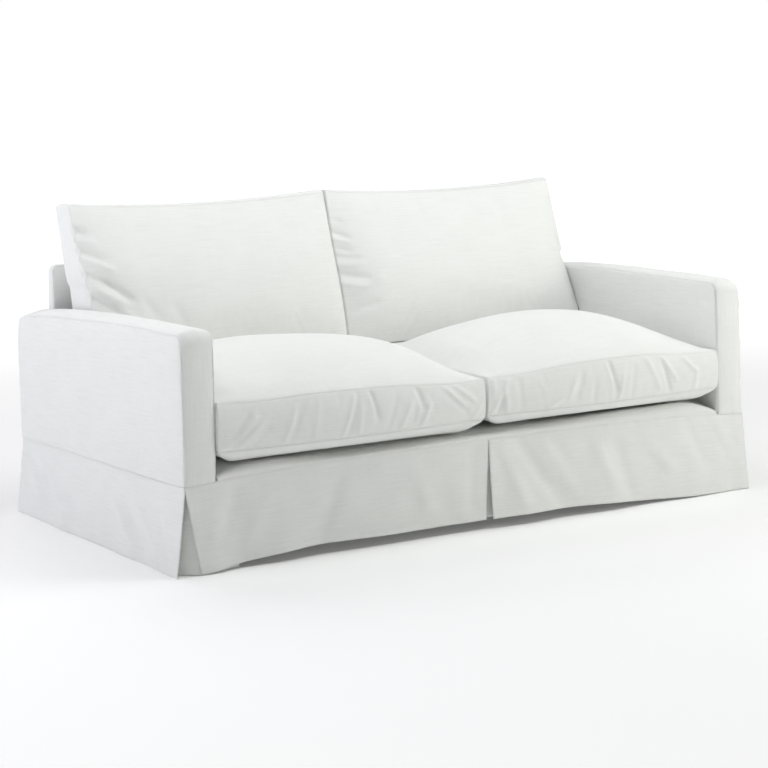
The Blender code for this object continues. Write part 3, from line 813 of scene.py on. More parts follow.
@dataclass(frozen=True)
class SlubLinen:
    """Washed linen and cotton cloth with uneven, thick yarns across it, and painted shade beside
    its seams.
    """

    name: str
    # The cloth's two colours: the darker one serves the thick yarns, the mottling and the painted
    # shade beside the seams.
    light: Colour = (0.858, 0.866, 0.846, 1.0)
    shade: Colour = (0.704, 0.715, 0.686, 1.0)
    slub_length: float = 0.100
    slub_pitch: float = 0.0028
    yarn_pitch: float = 0.0011
    slub_share: float = 0.24
    warp_share: float = 0.10
    mottle_size: float = 0.14
    mottle_share: float = 0.3
    # How far the painted shade beside a seam darkens the cloth.
    seam_shade: float = 0.40
    relief: float = 0.0009
    relief_strength: float = 0.4
    roughness: float = 0.87
    roughness_range: float = 0.06
    sheen: float = 0.12
    sheen_roughness: float = 0.5
    specular: float = 0.25

    # Where the noise of the yarns begins to be a thick one, and where it fully is.
    WEFT_STOPS = (0.42, 0.72)
    WARP_STOPS = (0.45, 0.75)
    # What thick weft, thick warp and the weave itself add to the relief.
    HEIGHTS = (0.6, 0.3, 0.22)

    def yarns(self, nodes: Nodes, u: Socket, v: Socket, length: float, pitch: float) -> Socket:
        """Uneven yarns that run along u.

        Args:
            nodes: the material's tree.
            u: place along the yarns.
            v: place across them.
            length: how long a thick stretch is.
            pitch: how wide it is.

        Returns:
            The noise, about 0 to 1.
        """
        values = {"X": u * (1 / length), "Y": v * (1 / pitch)}
        place = nodes.node("ShaderNodeCombineXYZ", {}, values)
        return nodes.noise(place, 1.0, "2D", Detail=2.0, Roughness=0.55)

    def material(self) -> bpy.types.Material:
        """Builds the material.

        Returns:
            The cloth, which needs a UV map in metres and a seam attribute for its painted seam
            shade.
        """
        made = bpy.data.materials.new(self.name)
        nodes = Nodes.on(made, "Principled BSDF")
        uv = nodes.node("ShaderNodeUVMap", {"uv_map": "UVMap"}, {})
        u, v = nodes.axis(uv, "X"), nodes.axis(uv, "Y")
        weft = self.yarns(nodes, u, v, self.slub_length, self.slub_pitch)
        warp = self.yarns(nodes, v, u, self.slub_length, self.slub_pitch)
        slub = nodes.ramp(weft, *self.WEFT_STOPS)
        thick = nodes.ramp(warp, *self.WARP_STOPS)
        mottle = nodes.noise(nodes.place("Object"), self.mottle_size, Detail=3.0, Roughness=0.6)
        seam = nodes.node("ShaderNodeAttribute", {"attribute_name": "seam"}, {}, "Fac")
        dark = slub * self.slub_share + thick * self.warp_share
        dark = dark + (mottle - 0.5) * self.mottle_share
        # Painted shade: the cloth turns towards its darker colour beside the seams.
        share = (dark + seam * self.seam_shade).clamp()
        nodes.feed({"Base Color": nodes.blend(share, self.light, self.shade)})
        turn = 2 * math.pi / self.yarn_pitch
        weave = (u * turn).wave() * (v * turn).wave()
        of_weft, of_warp, of_weave = self.HEIGHTS
        height = slub * of_weft + thick * of_warp + weave * of_weave
        nodes.feed({
            "Normal": nodes.bumps(height, self.relief, self.relief_strength),
            "Roughness": mottle * self.roughness_range + self.roughness,
            "Sheen Weight": self.sheen,
            "Sheen Roughness": self.sheen_roughness,
            "Specular IOR Level": self.specular,
        })
        return made


@dataclass(frozen=True)
class Thread:
    """Cotton sewing thread, a little lighter and smoother than the cloth."""

    name: str = "sewing_thread"
    light: Colour = (0.870, 0.876, 0.856, 1.0)
    shade: Colour = (0.770, 0.776, 0.752, 1.0)
    patch: float = 0.030
    ply: float = 0.0007
    ply_relief: float = 0.0001
    roughness: float = 0.60
    roughness_range: float = 0.1

    def material(self) -> bpy.types.Material:
        """Builds the material.

        Returns:
            The thread's material.
        """
        made = bpy.data.materials.new(self.name)
        nodes = Nodes.on(made, "Principled BSDF")
        place = nodes.place("Object")
        patches = nodes.noise(place, self.patch, Detail=2.0)
        nodes.feed({"Base Color": nodes.blend(patches, self.light, self.shade)})
        ply = nodes.noise(place, self.ply)
        nodes.feed({
            "Normal": nodes.bumps(ply, self.ply_relief, 1.0),
            "Roughness": patches * self.roughness_range + self.roughness,
        })
        return made


@dataclass(frozen=True)
class Cover:
    """Sizes that the panels of the cover share."""

    front_y: float = -0.525
    rear_y: float = 0.525
    seam_z: float = 0.230
    seam_rise: float = 0.022
    seam_rise_power: float = 3.5
    half_width: float = 0.952
    lean_span: float = 0.40
    deck_z: float = 0.275
    back_top_z: float = 0.736
    back_radius: float = 0.015
    back_face_y: float = 0.477
    back_bows_below_z: float = 0.600
    back_low_z: float = 0.262
    back_low_y: float = 0.360
    back_rear_taper: float = 0.014
    arm_front_radius: float = 0.028
    arm_rear_radius: float = 0.022
    arm_fall: float = 0.37
    edge_from: float = 0.9
    step: float = 0.010
    coarse_step: float = 0.012

    # An arm's upright faces: x of the outer one, its lean, x of the inner one, its lean.
    FACES = {
        Side.LEFT: (0.950, 0.000, 0.8555, 0.004),
        Side.RIGHT: (0.956, 0.014, 0.8565, 0.011),
    }
    # Height of each arm's top seams. Columns: y, outer seam, inner seam.
    ARM_TOP = {
        Side.LEFT: (
            (-0.525, 0.624, 0.629), (-0.18, 0.6255, 0.63), (0.08, 0.617, 0.627),
            (0.3, 0.608, 0.618), (0.45, 0.5965, 0.607), (0.525, 0.589, 0.598),
        ),
        Side.RIGHT: (
            (-0.525, 0.63, 0.633), (-0.21, 0.635, 0.64), (0.108, 0.632, 0.646), (0.3, 0.62, 0.638),
            (0.45, 0.605, 0.62), (0.525, 0.596, 0.608),
        ),
    }

    # Angles of the stations round the arm's rear and front edges and the back's top edge.
    REAR_TURN = (0, 4, 12, 25, 40, 55, 70)
    FRONT_TURN = (72, 56, 40, 27, 16, 7, 0)
    BACK_TURN = (0, 6, 14, 25, 40, 55, 70, 90)

    def outer_x(self, side: Side, z: Number) -> Number:
        """Distance of an arm's outer face from the middle, at a height."""
        outer, lean, _, _ = self.FACES[side]
        return outer - lean * (z - self.seam_z) / self.lean_span

    def inner_x(self, side: Side, z: Number) -> Number:
        """Distance of an arm's inner face from the middle, at a height."""
        _, _, inner, lean = self.FACES[side]
        return inner - lean * (z - self.seam_z) / self.lean_span

    def front_seam_z(self, x: Number) -> Number:
        """The front skirt seam rises a little between the corners."""
        share = np.minimum(abs(x) / self.half_width, 1) ** self.seam_rise_power
        return self.seam_z + self.seam_rise * (1 - share)

    def back_inner_y(self, z: Number) -> Number:
        """The inside back is upright at the top and comes forward lower down.

        Args:
            z: the height.

        Returns:
            The y of its face there.
        """
        drop = self.back_bows_below_z - self.back_low_z
        below = np.clip((self.back_bows_below_z - z) / drop, 0, 1)
        return self.back_face_y - (self.back_face_y - self.back_low_y) * below

    def back_rear_y(self, z: Number, arm_z: Number) -> Number:
        """The outside back leans forward a little above the arms."""
        share = np.clip((z - arm_z) / (self.back_top_z - arm_z), 0, 1)
        return self.rear_y - self.back_rear_taper * share

    def arm_path(self, side: Side, number: int, step: float) -> np.ndarray:
        """Stations of an arm band's edge, from the rear over the top and down the front.

        Args:
            side: which arm.
            number: 1 for the outer seam, 2 for the inner seam.
            step: spacing of the stations.

        Returns:
            Rows of y, z and the outward direction there as (y, z).
        """
        top = column(self.ARM_TOP[side], number)
        rear, front = self.arm_rear_radius, self.arm_front_radius
        rear_y, front_y = self.rear_y - rear, self.front_y + front
        rear_z = float(curve(top, rear_y)) - rear
        front_z = float(curve(top, front_y)) - front
        path = []
        for angle in np.radians(self.REAR_TURN):
            out = (math.cos(angle), math.sin(angle))
            path.append((rear_y + rear * out[0], rear_z + rear * out[1], *out))
        for y in np.linspace(rear_y, front_y, round((rear_y - front_y) / step)):
            path.append((y, float(curve(top, y)), 0.0, 1.0))
        for angle in np.radians(self.FRONT_TURN):
            out = (-math.cos(angle), math.sin(angle))
            path.append((front_y + front * out[0], front_z + front * out[1], *out))
        fall = stations(self.arm_fall, step, (False, True))
        for z in mix(front_z, self.seam_z, fall[1:]):
            path.append((self.front_y, z, -1.0, 0.0))
        return np.array(path)

    def over_the_top(self, side: Side, number: int, step: float) -> np.ndarray:
        """The part of an arm band's edge that borders an upright arm panel.

        Args:
            side: which arm.
            number: 1 for the outer seam, 2 for the inner seam.
            step: spacing of the stations.

        Returns:
            Rows like those of arm_path.
        """
        path = self.arm_path(side, number, step)
        down = np.flatnonzero(path[:, 2] == -1.0)
        return path[: down[0] + 1]

    def wing_top_z(self, side: Side, number: int) -> float:
        """Height at which an arm band meets the outside back."""
        return float(self.arm_path(side, number, self.arm_fall)[0, 1])

    def back_edge_x(self, x: Number, z: Number) -> Number:
        """Moves a place across the low back onto the leaning inner faces of the arms.

        Args:
            x: place across, on an upright low back.
            z: the height.

        Returns:
            The place across on the leaning one.
        """
        side = np.where(x < 0, -1.0, 1.0)
        half = self.FACES[Side.LEFT][2]
        edge = np.where(x < 0, self.inner_x(Side.LEFT, z), self.inner_x(Side.RIGHT, z))
        share = np.clip((abs(x) / half - self.edge_from) / (1 - self.edge_from), 0, 1)
        return x + side * (edge - half) * share

    def back_stations(self, step: float) -> tuple[np.ndarray, np.ndarray]:
        """Places across the low back, and how far the rounded top edge is down there.

        Args:
            step: spacing between the rounded ends.

        Returns:
            The places, and the drop at each.
        """
        half = self.FACES[Side.LEFT][2]
        radius = self.back_radius
        angle = np.radians(self.BACK_TURN)
        into, drop = radius * (1 - np.cos(angle)), radius * (1 - np.sin(angle))
        count = round(2 * (half - radius) / step)
        inside = np.linspace(-half + radius, half - radius, count)[1:-1]
        place = np.concatenate([-half + into, inside, (half - into)[::-1]])
        return place, np.concatenate([drop, np.zeros(len(inside)), drop[::-1]])


@dataclass
class ArmCover:
    """The three panels over one arm."""

    cover: Cover
    side: Side
    outer_height: float = 0.400
    inner_height: float = 0.380
    band_width: float = 0.095
    band_step: float = 0.008
    front_crown: float = 0.003
    front_z: float = 0.590
    crown_starts: float = 0.06
    inner_low_z: float = 0.240
    hollow_margin: float = 0.100

    CROWN = {Side.LEFT: 0.009, Side.RIGHT: 0.014}
    # Broad hollows of the flat panels. Columns: y, z, half length, half height, depth.
    HOLLOWS = (
        (-0.3, 0.42, 0.22, 0.12, -0.003), (0.1, 0.33, 0.2, 0.1, -0.0025),
        (0.33, 0.48, 0.16, 0.12, 0.002),
    )
    INNER_FOLDS = Folds((
        (-0.1, 0.555, 0.14, 0.565, 18, -1.6), (-0.32, 0.52, -0.16, 0.54, 20, 1.6),
        (-0.2, 0.47, 0.02, 0.5, 22, -1.6), (-0.44, 0.6, -0.47, 0.5, 12, -1.4),
    ))
    OUTER_FOLDS = Folds((
        (-0.46, 0.6, -0.43, 0.4, 30, -1.2), (0.4, 0.56, 0.48, 0.4, 30, -1.2),
        (0.44, 0.3, 0.49, 0.46, 22, 1), (-0.3, 0.3, 0.1, 0.25, 30, 1),
    ))

    def outer(self) -> Panel:
        """The upright panel outside the arm.

        Returns:
            The panel.
        """
        cover, sign = self.cover, self.side.value
        path = cover.over_the_top(self.side, 1, cover.step)
        rise = stations(self.outer_height, cover.step)[:, None]
        y = path[None, :, 0]
        z = mix(cover.seam_z, path[None, :, 1], rise)
        out = np.zeros_like(z)
        for at_y, at_z, half_y, half_z, depth in self.HOLLOWS:
            out = out + depth * bump(y - at_y, half_y) * bump(z - at_z, half_z)
        margin = np.clip((cover.rear_y - abs(y)) / self.hollow_margin, 0, 1)
        out = out * np.sin(rise * math.pi) * margin
        grid = grid_of(sign * (cover.outer_x(self.side, z) + out), y, z)
        relief = Relief(soft=0.0060, soft_width=0.022, seed=3)
        edges = (Edge.FLAT, Edge.CORNER, Edge.LAPPED, Edge.CORNER)
        folds = self.OUTER_FOLDS.relief(grid[..., 1], grid[..., 2])
        return Panel("arm_outer_" + self.side.word, grid, (sign, 0, 0), relief, edges, folds)

    def inner(self) -> Panel:
        """The upright panel inside the arm.

        Returns:
            The panel.
        """
        cover, sign = self.cover, self.side.value
        path = cover.over_the_top(self.side, 2, cover.step)
        ahead = path[:, 0] < cover.back_face_y - cover.arm_rear_radius
        y = np.append(cover.back_face_y, path[ahead, 0])
        top_z = np.interp(y, path[::-1, 0], path[::-1, 1])
        rise = stations(self.inner_height, cover.step)[:, None]
        z = mix(self.inner_low_z, top_z[None, :], rise)
        grid = grid_of(sign * cover.inner_x(self.side, z), y[None, :], z)
        relief = Relief(soft=0.0022, soft_width=0.010, seed=5)
        folds = self.INNER_FOLDS.relief(grid[..., 1], grid[..., 2])
        return Panel("arm_inner_" + self.side.word, grid, (-sign, 0, 0), relief, folds=folds)

    def band(self) -> Panel:
        """The strip over the arm's top and down its front, crowned between its seams.

        Returns:
            The panel.
        """
        cover, side = self.cover, self.side
        outer = cover.arm_path(side, 1, cover.step)[:, None, :]
        inner = cover.arm_path(side, 2, cover.step)[:, None, :]
        across = stations(self.band_width, self.band_step)[None, :]
        y, z, out_y, out_z = (mix(outer[..., k], inner[..., k], across) for k in range(4))
        x = side.value * mix(cover.outer_x(side, z), cover.inner_x(side, z), across)
        down = np.clip((self.front_z - z) / (self.front_z - cover.seam_z), 0, 1)
        z = z + (cover.front_seam_z(x) - cover.seam_z) * down * (out_y < 0)
        settle = np.clip((cover.rear_y - y) / self.crown_starts, 0, 1)
        crown = mix(self.front_crown, self.CROWN[side], np.clip(out_z, 0, 1)) * settle
        foot = np.clip((z - cover.seam_z) / self.crown_starts, 0, 1)
        swell = crown * foot * (1 - (2 * across - 1) ** 2)
        grid = grid_of(x, y + out_y * swell, z + out_z * swell)
        return Panel(
            "arm_band_" + side.word, grid, (0, -1, 1),
            Relief(soft=0.0055, soft_width=0.009, rumple=0.0007, rumple_size=0.09, seed=7),
            (Edge.CORNER, Edge.FLAT, Edge.CORNER, Edge.CORNER),
            slubs_along_rows=False, shadow_width=0.006,
        )

    def build(self, out: "Wardrobe") -> None:
        """Args:
            out: what makes sheets.
        """
        band = "arm_band_" + self.side.word
        out.sheet(self.outer(), "stretched", band)
        out.sheet(self.inner(), "stretched", band)
        out.sheet(self.band(), "stretched", "back_outer")


@dataclass
class LowBack:
    """The outside back, the inside back and the strip between them."""

    cover: Cover
    wing_width: float = 0.095
    low_height: float = 0.360
    high_height: float = 0.150
    inner_height: float = 0.480
    inner_step: float = 0.016
    band_width: float = 0.045
    band_step: float = 0.007
    crown: float = 0.003
    band_free: float = 0.008
    band_rows: int = 12
    cut_share: float = 0.86

    def outer(self) -> Panel:
        """The outside back: full width up to the arms, and then the low back alone.

        Returns:
            The panel.
        """
        cover = self.cover
        step = cover.coarse_step
        low_x, low_drop = cover.back_stations(step)
        wings = {side: (cover.wing_top_z(side, 1), cover.wing_top_z(side, 2)) for side in Side}
        wing = stations(self.wing_width, step, (True, False))[:-1]
        share = (low_x - low_x[0]) / (low_x[-1] - low_x[0])
        up = stations(self.low_height, step, (True, False))
        over = stations(self.high_height, step, (False, True))[1:]
        rows = [(low, 0.0) for low in up] + [(1.0, high) for high in over]
        points = []
        for low, high in rows:
            wing_z = mix(wings[Side.LEFT][1], wings[Side.RIGHT][1], share)
            height = mix(mix(cover.seam_z, wing_z, low), cover.back_top_z - low_drop, high)
            middle = grid_of(
                cover.back_edge_x(low_x, height), cover.back_rear_y(height, wing_z), height
            )
            ends = {}
            for side in Side:
                top = mix(wings[side][0], wings[side][1], wing)
                z = mix(cover.seam_z, top, low)
                x = side.value * mix(cover.outer_x(side, z), cover.inner_x(side, z), wing)
                ends[side] = grid_of(x, np.full_like(z, cover.rear_y), z)
            points.append(np.concatenate([ends[Side.LEFT], middle, ends[Side.RIGHT][::-1]]))
        grid = np.array(points)
        keep = np.ones((grid.shape[0] - 1, grid.shape[1] - 1), bool)
        keep[len(up) - 1 :, : len(wing)] = False
        keep[len(up) - 1 :, -len(wing) :] = False
        relief = Relief(soft=0.0026, soft_width=0.012, rumple=0.0016, rumple_size=0.26, seed=31)
        edges = (Edge.FLAT, Edge.CORNER, Edge.CORNER, Edge.CORNER)
        return Panel("back_outer", grid, (0, 1, 0), relief, edges, keep=keep)

    def inner(self) -> Panel:
        """The inside back, behind the cushions.

        Returns:
            The panel.
        """
        cover = self.cover
        place, drop = cover.back_stations(self.inner_step)
        rise = stations(self.inner_height, self.inner_step)[:, None]
        z = mix(cover.back_low_z, cover.back_top_z - drop[None, :], rise)
        grid = grid_of(cover.back_edge_x(place[None, :], z), cover.back_inner_y(z), z)
        relief = Relief(soft=0.0016, soft_width=0.008, rumple=0.0006, seed=33)
        return Panel("back_inner", grid, (0, -1, 0), relief)

    def band(self) -> Panel:
        """The strip up one side of the low back, over its top and down the other side.

        Returns:
            The panel.
        """
        cover = self.cover
        place, drop = cover.back_stations(cover.coarse_step)
        top = cover.back_top_z
        low = [cover.wing_top_z(side, 2) for side in Side]
        arm = [
            float(curve(column(cover.ARM_TOP[side], 2), cover.back_face_y)) + self.band_free
            for side in Side
        ]
        rise = np.linspace(0, 1, self.band_rows)[:-1]
        left, right = (
            np.concatenate([[foot, mix(foot, free, 0.5)], mix(free, top - drop[0], rise)])
            for foot, free in zip(low, arm)
        )
        x = np.concatenate([np.full(len(left), place[0]), place, np.full(len(right), place[-1])])
        z = np.concatenate([left, top - drop, right[::-1]])
        x, z = x[:, None], z[:, None]
        across = stations(self.band_width, self.band_step)[None, :]
        clear = np.clip((z - np.where(x < 0, *arm)) / self.band_free, 0, 1)
        out = self.crown * (1 - (2 * across - 1) ** 2) * clear
        on_top = np.clip((z - top + cover.back_radius) / cover.back_radius, 0, 1)
        low_z = mix(*low, (x - x[0]) / (x[-1] - x[0]))
        y = mix(cover.back_rear_y(z, low_z), cover.back_face_y, across)
        edge = cover.back_edge_x(x, z)
        grid = grid_of(edge + np.sign(x) * out * (1 - on_top), y, z + out * on_top)
        relief = Relief(soft=0.0008, soft_width=0.005, rumple=0.0006, rumple_size=0.07, seed=35)
        return Panel("back_band", grid, (0, 0, 1), relief, slubs_along_rows=False)

    def build(self, out: "Wardrobe") -> None:
        """Args:
            out: what makes sheets.
        """
        outer = self.outer()
        width, length = outer.flat()
        out.sheet(outer, "stretched", "back_band", area=self.cut_share * width * length)
        out.sheet(self.inner(), "stretched", "back_band")
        out.sheet(self.band(), "stretched", "back_outer")


@dataclass
class SeatDeck:
    """The platform under the seat cushions, with its rounded front edge."""

    cover: Cover
    width: float = 1.710
    step: float = 0.014
    upright_height: float = 0.020
    lip_depth: float = 0.022
    upright_share: float = 0.35
    levels_by: float = 0.12
    lip_rows: int = 8
    rear_rows: int = 30

    # Columns: x, height of the front edge.
    LIP_TOP = (
        (-0.86, 0.245), (-0.815, 0.26), (-0.757, 0.2665), (-0.449, 0.261), (-0.12, 0.266),
        (0.224, 0.271), (0.59, 0.28), (0.785, 0.273), (0.83, 0.26), (0.86, 0.246),
    )
    LIP_TURN = (12, 24, 36, 48, 60, 75, 90)

    def panel(self) -> Panel:
        """Up the front edge from the skirt seam and back under the cushions.

        Returns:
            The panel.
        """
        cover = self.cover
        x = 2 * stations(self.width, self.step) - 1
        low = cover.back_edge_x(x * cover.FACES[Side.LEFT][2], cover.deck_z)[:, None]
        seam = cover.front_seam_z(low)
        lip = curve(self.LIP_TOP, low)
        upright = mix(seam, lip, self.upright_share)
        columns = []
        height = self.upright_height
        for share in np.append(stations(height, height, (True, False))[:-1], 1.0):
            columns.append((cover.front_y, mix(seam, upright, share)))
        for angle in np.radians(self.LIP_TURN):
            y = cover.front_y + self.lip_depth * (1 - math.cos(angle))
            columns.append((y, mix(upright, lip, math.sin(angle))))
        settle = cover.front_y + self.lip_depth
        for y in np.linspace(settle, cover.front_y + self.levels_by, self.lip_rows)[1:]:
            share = ease((y - settle) / (self.levels_by - self.lip_depth))
            columns.append((y, mix(lip, np.full_like(lip, cover.deck_z), share)))
        rear = float(cover.back_inner_y(cover.deck_z))
        for y in np.linspace(cover.front_y + self.levels_by, rear, self.rear_rows)[1:]:
            columns.append((y, np.full_like(lip, cover.deck_z)))
        grid = np.stack([grid_of(low[:, 0], y, z[:, 0]) for y, z in columns], 1)
        relief = Relief(rumple=0.0004, rumple_size=0.2, seed=41)
        edges = (Edge.CORNER, Edge.CORNER, Edge.FLAT, Edge.CORNER)
        return Panel("deck", grid, (0, 0, 1), relief, edges, slubs_along_rows=False)

    def build(self, out: "Wardrobe") -> None:
        out.sheet(self.panel(), "stretched", "arm_inner_left", "arm_inner_right")


@dataclass
class Skirt:
    """The skirt's panels with their hems, and the pieces behind the openings."""

    cover: Cover
    height: float = 0.225
    fine_step: float = 0.009
    front_width: float = 0.940
    side_width: float = 1.080
    back_width: float = 1.910
    slit_top_x: float = 0.010
    slit_hem_half: float = 0.006
    side_hem_front_y: float = -0.550
    side_hem_rear_y: float = 0.556
    hem_lift: float = 0.001
    back_hem_out: float = 0.026
    back_hem_half: float = 0.962
    swing_power: float = 1.4
    hem_depth: float = 0.030
    hem_step: float = 0.0006
    hem_fade: float = 0.003
    stitched_from: int = 3
    inset: float = 0.0033
    leg: float = 0.150
    radius: float = 0.040
    turns: int = 11
    corner_height: float = 0.223
    corner_z: tuple[float, float] = (0.2290, 0.0015)
    centre_size: float = 0.220
    centre_z: tuple[float, float] = (0.2510, 0.0310)
    flare: float = 0.006
    least_flare: float = 0.003

    # Columns: x, height over the floor, how far it stands out from the body.
    FRONT_HEM = {
        Side.LEFT: (
            (-0.95, 0.0015, 0.029), (-0.88, 0.006, 0.024), (-0.776, 0.016, 0.017),
            (-0.623, 0.0272, 0.012), (-0.306, 0.0265, 0.009), (0.0, 0.0265, 0.008),
        ),
        Side.RIGHT: (
            (0.0, 0.0285, 0.024), (0.207, 0.028, 0.024), (0.389, 0.024, 0.024),
            (0.576, 0.012, 0.024), (0.769, 0.0035, 0.025), (0.958, 0.0015, 0.026),
        ),
    }
    FRONT_ENDS = {Side.LEFT: -0.924, Side.RIGHT: 0.960}
    # How far the pieces behind the corner openings stand out at the corner: front, rear.
    CORNER_FLARE = {Side.LEFT: (0.030, 0.008), Side.RIGHT: (0.004, 0.008)}
    # Columns: y, how far the hem stands out on the left, and on the right.
    SIDE_HEM = (
        (-0.55, 0.044, 0.005), (-0.3, 0.034, 0.016), (-0.05, 0.028, 0.028), (0.3, 0.022, 0.03),
        (0.56, 0.015, 0.024),
    )
    # Soft swells. Columns: place along the panel, half width, depth, drift to the hem.
    FRONT_SWELLS = (
        (-0.87, 0.035, 0.007, -0.01), (-0.795, 0.035, -0.006, 0.01), (-0.69, 0.05, 0.006, 0.03),
        (-0.56, 0.06, -0.004, 0.02), (-0.3, 0.09, 0.003, -0.02), (-0.06, 0.05, 0.004, 0.0),
        (0.11, 0.06, 0.006, 0.02), (0.25, 0.06, -0.005, 0.03), (0.4, 0.07, 0.006, 0.02),
        (0.56, 0.06, -0.004, 0.01), (0.74, 0.06, 0.005, 0.0), (0.89, 0.035, -0.004, 0.01),
    )
    SIDE_SWELLS = (
        (-0.48, 0.04, 0.0015, -0.01), (-0.33, 0.06, -0.002, -0.03), (-0.18, 0.06, 0.0025, -0.02),
        (0.03, 0.08, -0.0015, 0.01), (0.2, 0.05, 0.0025, 0.02), (0.33, 0.05, -0.0025, 0.02),
        (0.45, 0.04, 0.002, 0.02),
    )
    # Folds of the side panels, as lines over (y, z).
    SIDE_FOLDS = Folds((
        (0.4, 0.15, 0.27, 0.04, 22, -6.5), (0.44, 0.13, 0.36, 0.05, 18, 4),
        (0.32, 0.14, 0.2, 0.04, 22, 4.3), (0.2, 0.12, 0.06, 0.04, 26, -4),
        (0.04, 0.1, -0.09, 0.035, 22, 4), (-0.12, 0.14, -0.25, 0.045, 20, 5.3),
        (-0.19, 0.15, -0.33, 0.04, 20, -6.5), (-0.28, 0.14, -0.41, 0.04, 18, 5.6),
        (-0.38, 0.15, -0.48, 0.05, 18, -5.6), (0.5, 0.205, 0.42, 0.15, 16, -3.1),
    ))
    # Folds of the front panels, as lines over (x, z).
    FRONT_FOLDS = Folds((
        (0.055, 0.215, 0.12, 0.06, 20, 4.8), (0.12, 0.225, 0.24, 0.06, 22, -7.2),
        (0.215, 0.2, 0.3, 0.07, 20, 4.8), (0.39, 0.19, 0.44, 0.08, 22, 5.8),
        (0.47, 0.17, 0.5, 0.06, 22, -4.8), (0.6, 0.16, 0.66, 0.1, 20, 5.1),
        (0.74, 0.2, 0.78, 0.12, 20, -4.5), (0.85, 0.21, 0.9, 0.12, 18, 4.2),
        (-0.04, 0.22, -0.06, 0.08, 20, -4.8), (-0.25, 0.21, -0.2, 0.09, 24, 3.8),
        (-0.48, 0.2, -0.54, 0.07, 24, -4.2), (-0.7, 0.19, -0.78, 0.06, 22, 4.8),
        (-0.8, 0.2, -0.86, 0.07, 20, -5.4),
    ))
    BACK_SWELLS = (
        (-0.75, 0.08, 0.006, 0.02), (-0.45, 0.1, -0.005, 0.0), (-0.1, 0.11, 0.005, 0.01),
        (0.3, 0.1, -0.005, -0.01), (0.68, 0.09, 0.006, -0.02),
    )

    def swells(self, rows: Rows, place: np.ndarray, down: np.ndarray) -> np.ndarray:
        """How far the skirt swings out; down is 0 at the seam and 1 at the hem.

        Args:
            rows: the swells: place, half width, depth, drift to the hem.
            place: place along the panel.
            down: 0 at the seam and 1 at the hem.

        Returns:
            Distances, positive outwards.
        """
        total = np.zeros_like(place + down)
        for at, half, depth, drift in rows:
            total = total + depth * bump(place - at - drift * down, half)
        return total * down**self.swing_power

    def down(self) -> np.ndarray:
        """Shares from the seam to the hem."""
        return stations(self.height, self.fine_step)[:, None]

    @staticmethod
    def heights(grid: Grid) -> np.ndarray:
        """Each point's distance from the hem, along the cloth."""
        drop = np.linalg.norm(np.diff(grid, axis=0), axis=-1)
        return np.vstack([np.cumsum(drop[::-1], 0)[::-1], np.zeros((1, grid.shape[1]))])

    def hung(
        self, node: str, grid: Grid, outward: Place, relief: Relief, folds: Number = 0.0
    ) -> Panel:
        """A panel hung from its seam, whose folded hem is a little thicker than its cloth.

        Args:
            node: the solid that the panel stands for.
            grid: its places.
            outward: which way it faces.
            relief: its unevenness.
            folds: how far its folds move it.

        Returns:
            The panel.
        """
        above = ease((self.heights(grid) - self.hem_depth) / self.hem_fade)
        return Panel(node, grid, outward, relief, HUNG, self.hem_step * (1 - above) + folds)

    def front(self, side: Side) -> Panel:
        """Half of the front skirt, from the corner to the slit in the middle.

        Args:
            side: which half.

        Returns:
            The panel.
        """
        cover, down = self.cover, self.down()
        share = stations(self.front_width, cover.step)[None, :]
        corner = side.value * cover.outer_x(side, cover.seam_z)
        seam_x = mix(corner, self.slit_top_x, share)
        hem_x = mix(self.FRONT_ENDS[side], side.value * self.slit_hem_half, share)
        x = mix(seam_x, hem_x, down)
        rows = self.FRONT_HEM[side]
        hem = curve(column(rows, 1), hem_x)
        out = curve(column(rows, 2), hem_x) * down
        out = out + self.swells(self.FRONT_SWELLS, x, down)
        grid = grid_of(x, cover.front_y - out, mix(cover.front_seam_z(seam_x), hem, down))
        folds = self.FRONT_FOLDS.relief(grid[..., 0], grid[..., 2])
        relief = Relief(rumple=0.0011, rumple_size=0.11, seed=51)
        return self.hung("skirt_front_" + side.word, grid, (0, -1, 0), relief, folds)

    def beside(self, side: Side) -> Panel:
        """The skirt's panel under one arm.

        Args:
            side: which arm.

        Returns:
            The panel.
        """
        cover, down = self.cover, self.down()
        share = stations(self.side_width, cover.step)[None, :]
        seam_y = mix(cover.front_y, cover.rear_y, share)
        y = mix(seam_y, mix(self.side_hem_front_y, self.side_hem_rear_y, share), down)
        out = curve(column(self.SIDE_HEM, 1 if side is Side.LEFT else 2), y) * down
        out = out + self.swells(self.SIDE_SWELLS, side.value * y, down)
        hem = self.hem_lift * np.sin(share * math.pi) ** 2
        x = side.value * (cover.outer_x(side, cover.seam_z) + out)
        grid = grid_of(x, y, mix(cover.seam_z, hem, down))
        folds = self.SIDE_FOLDS.relief(grid[..., 1], grid[..., 2])
        relief = Relief(rumple=0.0011, rumple_size=0.12, seed=53)
        return self.hung("skirt_side_" + side.word, grid, (side.value, 0, 0), relief, folds)

    def behind(self) -> Panel:
        """The skirt's panel along the back.

        Returns:
            The panel.
        """
        cover, down = self.cover, self.down()
        share = stations(self.back_width, cover.coarse_step)[None, :]
        left = -cover.outer_x(Side.LEFT, cover.seam_z)
        right = cover.outer_x(Side.RIGHT, cover.seam_z)
        x = mix(mix(left, right, share), mix(-self.back_hem_half, self.back_hem_half, share), down)
        out = self.back_hem_out * down + self.swells(self.BACK_SWELLS, x, down)
        hem = self.hem_lift * np.sin(share * math.pi) ** 2
        grid = grid_of(x, cover.rear_y + out, mix(cover.seam_z, hem, down))
        relief = Relief(rumple=0.0011, rumple_size=0.13, seed=55)
        return self.hung("skirt_back", grid, (0, 1, 0), relief)

